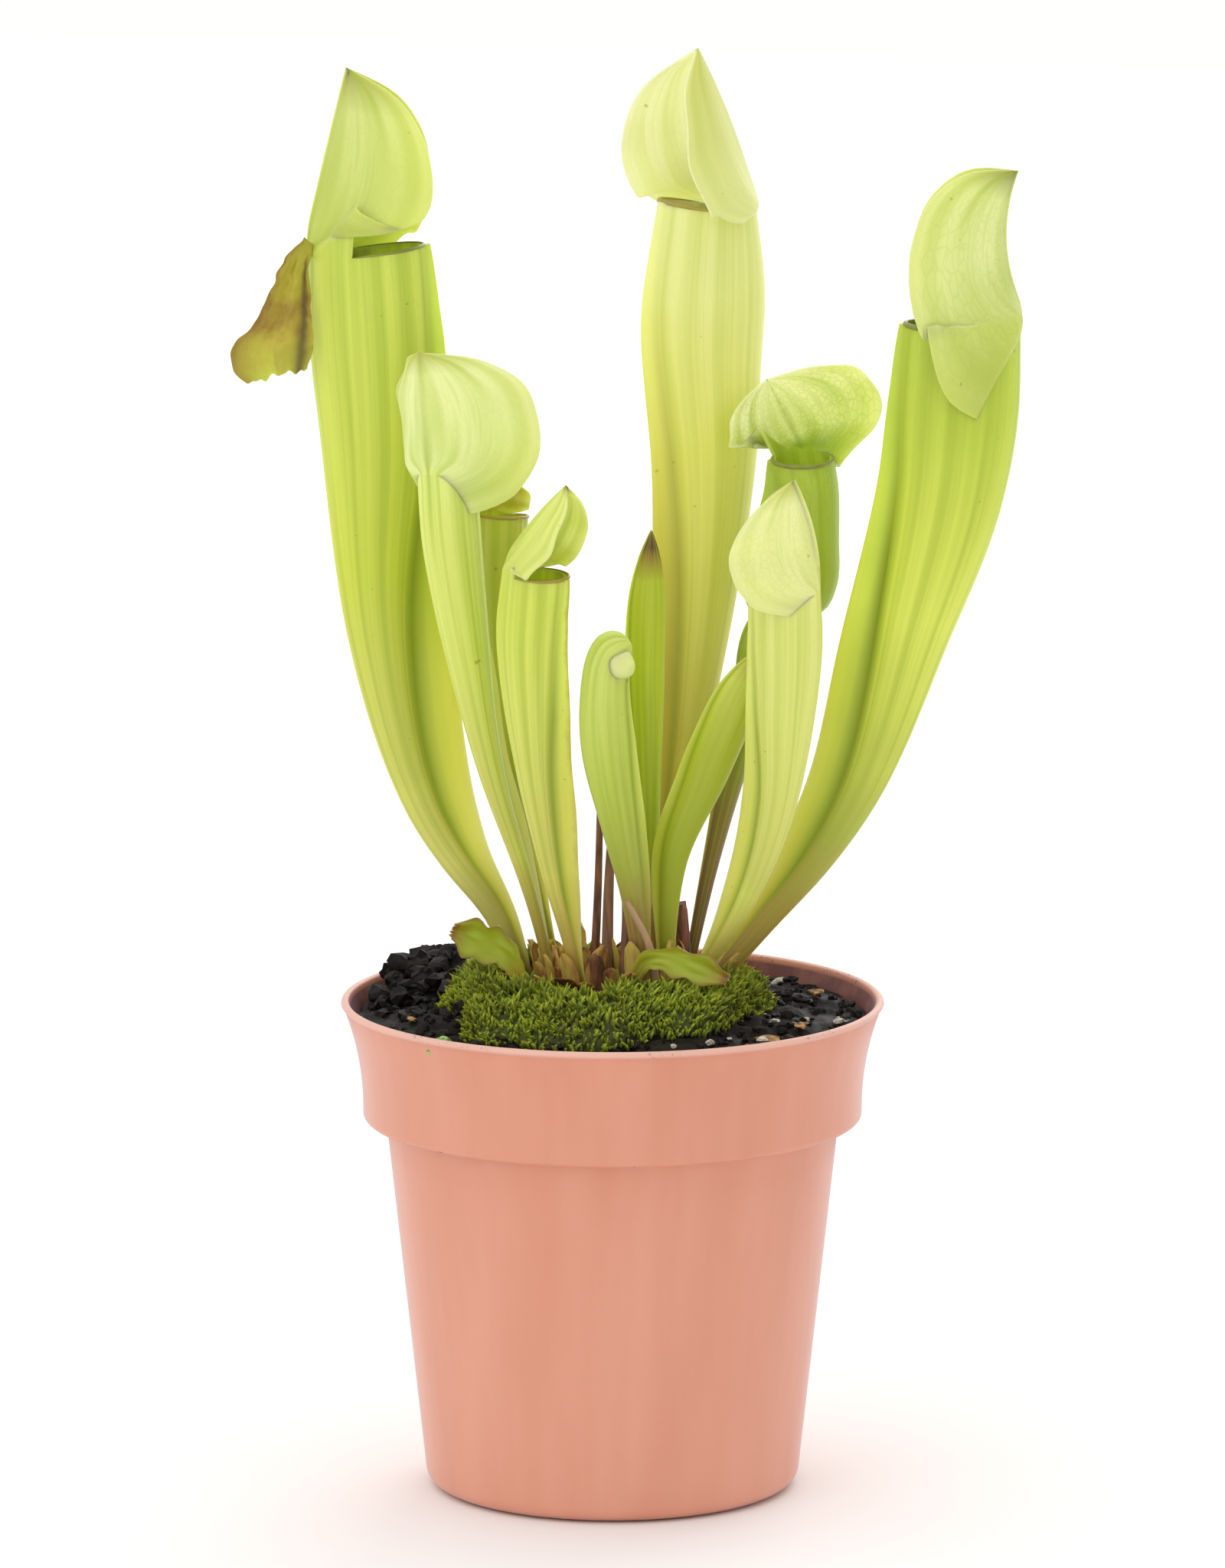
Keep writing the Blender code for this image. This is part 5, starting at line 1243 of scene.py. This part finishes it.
skin = leaf_finish("young_leaf_back", [(0.0, "6A4230"), (0.08, "9A9434"), (0.3, "BAC630"), (0.7, "C8D634"),
                                       (0.9, "C2CA3A"), (0.96, "9A7A34"), (0.985, "5E3428")], net=0.05,
                   margin_share=0.2, blotch_share=0.4)
bud("young_pitcher_back").piece("back_young_pitcher", [skin], "young_leaf", ["young_pitcher_back"])


def flat_leaf(name, ragged, broad):
    """A scale leaf: a flat sheet that is cupped a little, with a torn margin and end."""
    spec = BUDS[name]
    route = whole_route(spec["route"])
    shares, across = np.linspace(0.0, 1.0, 72), np.linspace(-1.0, 1.0, 31)
    up, front, side = leaf_frame(route, shares, spec["facing"])
    half = broad * spec["depth"] * spec["side"] / 2 * curve(BUD_PROFILE + ((1.0, spec["end"]),), shares)
    tear = np.array([[noise.noise(Vector((9 * s, 3.0 if u < 0 else 8.0, 2.0))) for u in across]
                     for s in shares])
    half = half[:, None] * (1 + ragged * tear * np.abs(across) ** 2)
    wave = np.array([[0.4 * noise.noise(Vector((6 * s, 2 * u, 5.0))) for u in across] for s in shares])
    cup = 0.3 * spec["depth"] * (across**2)[None] + wave
    end = np.array([2.2 * noise.noise(Vector((5 * u, 1.0, 3.0))) for u in across]) - 1.2 * across**2
    ahead = blend_step(0.8, 1.0, shares)[:, None] * end[None] * ragged
    centre = route.point(shares)[:, None] + up[:, None] * ahead[..., None]
    shell = Shell()
    grids = []
    for face in (-1, 1):
        aside = side[:, None] * (across * half)[..., None]
        grid = centre + aside + front[:, None] * (0.32 * face - cup)[..., None]
        marks = np.clip(np.abs(across)[None] ** 7 + blend_step(0.93, 1.0, shares)[:, None], 0, 1)
        grids.append(shell.add(grid, along=2 * shares[:, None], round=np.abs(across), edge=marks))
        shell.quads(grids[-1])
    shell.join_borders(grids)
    return shell


skin = leaf_finish("scale_leaf_skin", [(0.0, "9A6A34"), (0.15, "B8983E"), (0.4, "A8AE34"), (0.8, "9EAA2A"),
                                       (0.995, "96682C")], upper_margin_and_highlight="7E4E24", margin_share=0.85,
                   blotch_share=0.6, glow=0.5)
flat_leaf("stub_leaf_left", 0.3, 1.15).piece("left_stub_leaf", [skin], "young_leaf", ["stub_leaf_left"])
flat_leaf("scale_leaf_front", 0.35, 1.1).piece("front_scale_leaf", [skin], "young_leaf", ["scale_leaf_front"])

# %% [markdown]
# ## Withered stalks
# Last year's leaves have rotted down to thin stalks. Dry stalk is brown to purple, fibrous along its
# length, and its broken end is ragged. Each is a bent rod with fine ribs, thinner towards its top.

# %% Stalk finish
dry_stalk, tree, shader = new_finish("dry_leaf_stalk", "7A4A3A", 0.7)
place = position(tree)
long_way = stretched(tree, place, (1.0, 1.0, 0.15))
grain = cloud_of(tree, long_way, 1400.0, 3.0)
tone_mark = read_mark(tree, "tone")
brown = ramp(tree, grain, (0.35, "4E2A2A"), (0.65, "95604A"))
light_brown = blend(tree, tone_mark, brown, linear("C9A77C"))
tree.links.new(light_brown, shader.inputs["Base Color"])
emboss(tree, shader, grain, 0.5, 0.0002)

# %% Stalks
STALKS = {
    "dead_stalk_tall": (((-3.2, 2.4), (-2.4, 3.0, 100.0), (-2.0, 4.0, 116.5)), 0.8, 0.5),
    "dead_stalk_middle": (((-1.0, -1.6), (-0.6, -1.0, 101.0), (0.2, -0.5, 115.5)), 1.1, 0.6),
    "dead_stalk_short": (((1.6, -4.4), (2.2, -4.6, 96.0), (2.0, -4.6, 102.5)), 0.8, 0.6),
    "dead_stalk_pale": (((7.8, -9.3), (6.0, -10.9, 93.0), (2.4, -12.0, 100.5)), 0.7, 0.5),
    "dead_stub_dark": (((12.3, 1.6), (11.6, 0.6, 92.0), (11.0, 0.0, 98.0)), 1.1, 1.3),
}
PALENESS = {"dead_stalk_pale": 0.75, "dead_stalk_middle": 0.25, "dead_stub_dark": 0.0}
for name, (points, foot_radius, top_radius) in STALKS.items():
    route = whole_route(points)
    spec = {"facing": 0.0, "depth": 2.0, "side": 1.0, "wing": 0.0}
    angles = 2 * np.pi * np.arange(16) / 16
    shares = np.linspace(0.0, 1.0, 40)
    grid = tube_points(route, spec, ((0.0, foot_radius), (1.0, top_radius)), shares, angles, wing=False)
    centre = route.point(shares)[:, None]
    ribs = 1 + 0.1 * np.sin(5 * angles)[None, :] * np.sin(3 * shares * math.pi)[:, None]
    ribs = ribs * (1 - 0.35 * blend_step(0.93, 1.0, shares)[:, None] * (np.sin(3 * angles) > 0))
    grid = centre + (grid - centre) * ribs[..., None]
    shell = Shell()
    rod = shell.add(grid, tone=PALENESS.get(name, 0.12))
    shell.quads(rod, closed=True)
    for row, at in ((0, 0.0), (-1, 0.985)):
        shell.fan(rod[row], shell.add([route.point(at)], tone=0.1)[0])
    shell.piece(name.replace("dead", "withered"), [dry_stalk], "withered_stalk", [name])

# %% [markdown]
# ## The crown
# The leaves grow from a short rhizome that is wrapped in the dried bases of older leaves: orange-brown
# papery scales round a dark knobbly core. The core is an ellipsoid that noise has made knobbly, and the
# scales are small curved sheets, set round it in three rows that lean outwards.

# %% Crown finishes
rhizome, tree, shader = new_finish("rhizome_bark", "5E3A26", 0.85)
place = position(tree)
knobs = cloud_of(tree, place, 380.0, 5.0)
brown = ramp(tree, knobs, (0.35, "2C1A12"), (0.6, "6B432A"), (0.78, "93653C"))
tree.links.new(brown, shader.inputs["Base Color"])
emboss(tree, shader, knobs, 0.8, 0.0006)

dry_base, tree, shader = new_finish("dried_leaf_base", "A8703C", 0.7)
place = position(tree)
tone_mark = read_mark(tree, "tone")
long_way = stretched(tree, place, (1.0, 1.0, 0.25))
grain = cloud_of(tree, long_way, 900.0, 4.0)
mixed = calculate(tree, "MULTIPLY_ADD", tone_mark, 0.7, -0.35)
value = calculate(tree, "ADD", mixed, grain)
brown = ramp(tree, value, (0.15, "3E2618"), (0.4, "7E5228"), (0.6, "AE8438"), (0.85, "C0AC4A"))
tree.links.new(brown, shader.inputs["Base Color"])
shader.inputs["Subsurface Weight"].default_value = 0.2
shader.inputs["Subsurface Radius"].default_value = (1.0, 0.7, 0.3)
shader.inputs["Subsurface Scale"].default_value = 0.0008

# %% Crown
shell = Shell()
levels = np.linspace(-0.46, 0.49, 36) * math.pi
turns = 2 * np.pi * np.arange(72) / 72
grid = []
for tilt in levels:
    ways = [Vector((math.cos(t) * math.cos(tilt), math.sin(t) * math.cos(tilt), math.sin(tilt)))
            for t in turns]
    grid.append([[c + w * (h + CROWN_KNOB * noise.noise(way * 4.0) + 0.35 * noise.noise(way * 11.0))
                  for c, h, w in zip(CROWN_CENTRE, CROWN_HALF_SIZE, way)] for way in ways])
core = shell.add(grid)
shell.quads(core, closed=True)
shell.fan(core[0], shell.add([np.mean(grid[0], axis=0)])[0])
shell.fan(core[-1], shell.add([np.mean(grid[-1], axis=0)])[0])


def dried_scale(shell, foot, outward, rise, length, width, tone, finish=1):
    """A pointed papery scale, hollow along its length, that leans outwards."""
    outward = np.array([outward[0], outward[1], 0.0])
    outward = outward / np.linalg.norm(outward)
    up = np.array([0.0, 0.0, 1.0])
    side = np.cross(up, outward)
    s, u = np.linspace(0, 1, 9)[:, None], np.linspace(-1, 1, 7)[None, :]
    lean = np.radians(90 - rise) * (0.55 + 0.7 * s)
    half = width / 2 * np.sqrt(np.clip(1 - s**2.2, 0.0009, 1)) * (0.8 + 0.5 * s)
    line = length * (outward * np.sin(lean)[..., None] + up * np.cos(lean)[..., None]) * s[..., None]
    cup = 0.32 * width * (1 - u**2) * (1 - 0.5 * s)
    grids = []
    for thick in (0.0, 0.25):
        grid = np.array(foot) + line + side * (u * half)[..., None] + outward * (cup + thick)[..., None]
        grids.append(shell.add(grid, tone=tone))
        shell.quads(grids[-1], finish=finish)
    shell.join_borders(grids, finish)


dice = random.Random(23)
for ring, (count, share, rise, length) in enumerate(((26, 0.97, 38, 6.5), (20, 0.78, 58, 7.5),
                                                     (13, 0.52, 72, 7.0))):
    for k in range(count):
        turn = 2 * math.pi * (k + 0.5 * ring + dice.uniform(-0.3, 0.3)) / count
        x, y = math.cos(turn) * share, math.sin(turn) * share
        height = math.sqrt(max(0.02, 1 - share**2))
        foot = (CROWN_CENTRE[0] + CROWN_HALF_SIZE[0] * x * 0.97,
                CROWN_CENTRE[1] + CROWN_HALF_SIZE[1] * y * 0.97,
                CROWN_CENTRE[2] + CROWN_HALF_SIZE[2] * height - 0.8)
        dried_scale(shell, foot, (x / CROWN_HALF_SIZE[0], y / CROWN_HALF_SIZE[1]),
                    rise + dice.uniform(-14, 14),
                    length * dice.uniform(0.6, 1.15), dice.uniform(2.2, 4.2), dice.random())
# Sheaths: each leaf's foot stands in three or four taller scales
FEET = [spec["route"][:2] for spec in list(PITCHERS.values()) + list(BUDS.values())[:3]]
for (x, y), second in FEET:
    for k in range(4):
        turn = 2 * math.pi * (k + dice.uniform(-0.3, 0.3)) / 4 + 0.6
        foot = (x + 1.9 * math.cos(turn), y + 1.5 * math.sin(turn), FOOT_HEIGHT - 0.5)
        lean = (second[0] - x, second[1] - y)
        rise = 84 - 10 * abs(lean[0]) / 5
        outward = (math.cos(turn) + 0.5 * lean[0] / 5, math.sin(turn) + 0.5 * lean[1] / 5)
        dried_scale(shell, foot, outward, rise, dice.uniform(6.5, 12.0), dice.uniform(3.4, 4.8),
                    dice.uniform(0.45, 1.0))
shell.piece("crown", [rhizome, dry_base], "crown", ["crown"], smooth_angle=70.0)

# %% [markdown]
# ## The moss
# The moss is a mat of upright green shoots, 3 to 5 mm tall and half a millimetre thick, which thins out to
# single tufts at its edge. Hair particles would be the usual way, but plain geometry keeps its form in every
# file: a low mat takes the place of the solid, and 7,500 tapered shoots stand on it. Each shoot has a random
# height, lean and tone, so the mat reads as many plants.

# %% Moss shape
MOSS_CENTRE, MOSS_HALF_SIZE = (-2.5, -8.0), (25.0, 24.0)
MOSS_THICKNESS, MOSS_EDGE_THICKNESS, MOSS_LIFT = 2.5, 0.8, 0.8
MOSS_LOBES = ((3, 0.09, 57.0), (7, 0.06, 0.0))
BARE = (CROWN_HALF_SIZE[0] - 1.5, CROWN_HALF_SIZE[1] - 0.5)


def moss_place(turn, share):
    """A place on the moss, from its inner edge at the crown (0) to its outer edge (1)."""
    lobes = 1 + sum(size * math.sin(count * turn + math.radians(start)) for count, size, start in MOSS_LOBES)
    inner = (CROWN_CENTRE[0] + BARE[0] * math.cos(turn), CROWN_CENTRE[1] + BARE[1] * math.sin(turn))
    outer = (MOSS_CENTRE[0] + MOSS_HALF_SIZE[0] * lobes * math.cos(turn),
             MOSS_CENTRE[1] + MOSS_HALF_SIZE[1] * lobes * math.sin(turn))
    return tuple(a + (b - a) * share for a, b in zip(inner, outer))


def moss_top(x, y, share):
    """The mat's height: a mound that is thin at both edges."""
    inside = min(1.0, 4 * (1 - share)) * (0.25 + 0.75 * min(1.0, 5 * share + 0.4))
    rise = MOSS_THICKNESS * (1 + 0.35 * noise.noise(Vector((x, y, 9.0)) * 0.13)) * math.sqrt(inside)
    return ground_height(x, y) + MOSS_LIFT + MOSS_EDGE_THICKNESS + rise


moss, tree, shader = new_finish("living_moss", "6E9A24", 0.75)
tone_mark = read_mark(tree, "tone")
along = read_mark(tree, "along")
place = position(tree)
patch = cloud_of(tree, place, 130.0, 2.0)
# Painted shade: the shoots are painted darker towards their feet, and the mat under them darkest, for the
# shade down among the shoots
lit = calculate(tree, "MULTIPLY_ADD", along, 0.55, 0.0)
toned = calculate(tree, "MULTIPLY_ADD", tone_mark, 0.3, lit)
patched = calculate(tree, "MULTIPLY_ADD", patch, 0.5, toned)
green = ramp(tree, patched, (0.2, "1F1C08"), (0.48, "464E0E"), (0.76, "6E8014"), (0.93, "A6B42A"))
tree.links.new(green, shader.inputs["Base Color"])
shader.inputs["Subsurface Weight"].default_value = 0.2
shader.inputs["Subsurface Scale"].default_value = 0.0005

shell = Shell()
turns = 2 * np.pi * np.arange(150) / 150
rows = []
for share in np.linspace(0, 1, 24):
    rows.append([(x, y, ground_height(x, y) + 0.1) for x, y in (moss_place(t, share) for t in turns)])
for share in np.linspace(1, 0, 40):
    ring = [moss_place(t, share) for t in turns]
    rows.append([(x, y, moss_top(x, y, share) - 0.9 + 0.5 * noise.noise(Vector((x, y, 2.0)) * 0.9))
                 for x, y in ring])
# The mat is painted dark, as painted shade beneath the shoots
mat = shell.add(rows, along=0.15, tone=0.2)
shell.quads(np.concatenate([mat, mat[:1]]), closed=True)

dice = random.Random(7)
STRANDS, LEVELS = 7500, (0.0, 0.4, 0.75)
strands = []
while len(strands) < STRANDS:
    turn, share = dice.uniform(0, 2 * math.pi), dice.uniform(0.0, 1.16)
    x, y = moss_place(turn, share)
    keep = 0.35 + 0.65 * share if share < 1 else 0.7 - 4 * (share - 1)
    if dice.random() > keep or math.hypot(x, y) > edge - 1.0:
        continue
    tuft = 1 + 0.7 * noise.noise(Vector((x, y, 6.0)) * 0.45)
    tall = dice.uniform(1.8, 4.4) * tuft * (1 - 0.45 * min(share, 1.0) ** 3)
    lean = np.array([dice.gauss(0, 0.34) + 0.012 * (x + 2.5), dice.gauss(0, 0.34) + 0.012 * (y + 8), 1.0])
    low = moss_top(x, y, min(share, 1.0)) - 1.2 - 3 * max(0.0, share - 1)
    strands.append((x, y, low, tall, *(lean / np.linalg.norm(lean)), dice.random()))
strands = np.array(strands)
foot, tall, way, tone = strands[:, :3], strands[:, 3], strands[:, 4:7], strands[:, 7]
first = unit(np.cross(way, (0.3, 1.0, 0.0)))
second = np.cross(way, first)
corner = 2 * np.pi * np.arange(3) / 3
for level, (share, size) in enumerate(zip(LEVELS, (0.3, 0.34, 0.2))):
    centre = foot + way * (tall * share)[:, None] - np.array([0, 0, 1.0]) * (0.25 * share**2 * tall)[:, None]
    spoke = first[:, None] * np.cos(corner)[:, None] + second[:, None] * np.sin(corner)[:, None]
    ring = centre[:, None] + size * spoke
    numbers = shell.add(ring, along=0.2 + 0.8 * share, tone=tone[:, None])
    if level:
        for k in range(3):
            sides_of = np.stack([last[:, k], last[:, (k + 1) % 3], numbers[:, (k + 1) % 3], numbers[:, k]],
                                axis=1)
            shell.faces += sides_of.tolist()
            shell.finishes += [0] * len(sides_of)
    last = numbers
tips = shell.add(foot + way * tall[:, None] - np.array([0, 0, 1.0]) * (0.25 * tall)[:, None], along=1.0,
                 tone=tone)
for k in range(3):
    caps = np.stack([last[:, k], last[:, (k + 1) % 3], tips], axis=1)
    shell.faces += caps.tolist()
    shell.finishes += [0] * len(caps)
shell.piece("moss_cushion", [moss], "moss", ["moss"], smooth_angle=80.0)

# %% [markdown]
# ## Finish
# The two boxes are kept side by side: the solids' own, and that of the dressed part.

# %% Sizes
sizes = {"cad": [[float(v) for v in corner] for corner in cad_box],
         "visual": [[float(v) for v in corner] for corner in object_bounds()]}
print("size of the dressed part, mm:", [round((b - a) / MM, 1) for a, b in zip(*sizes["visual"])])
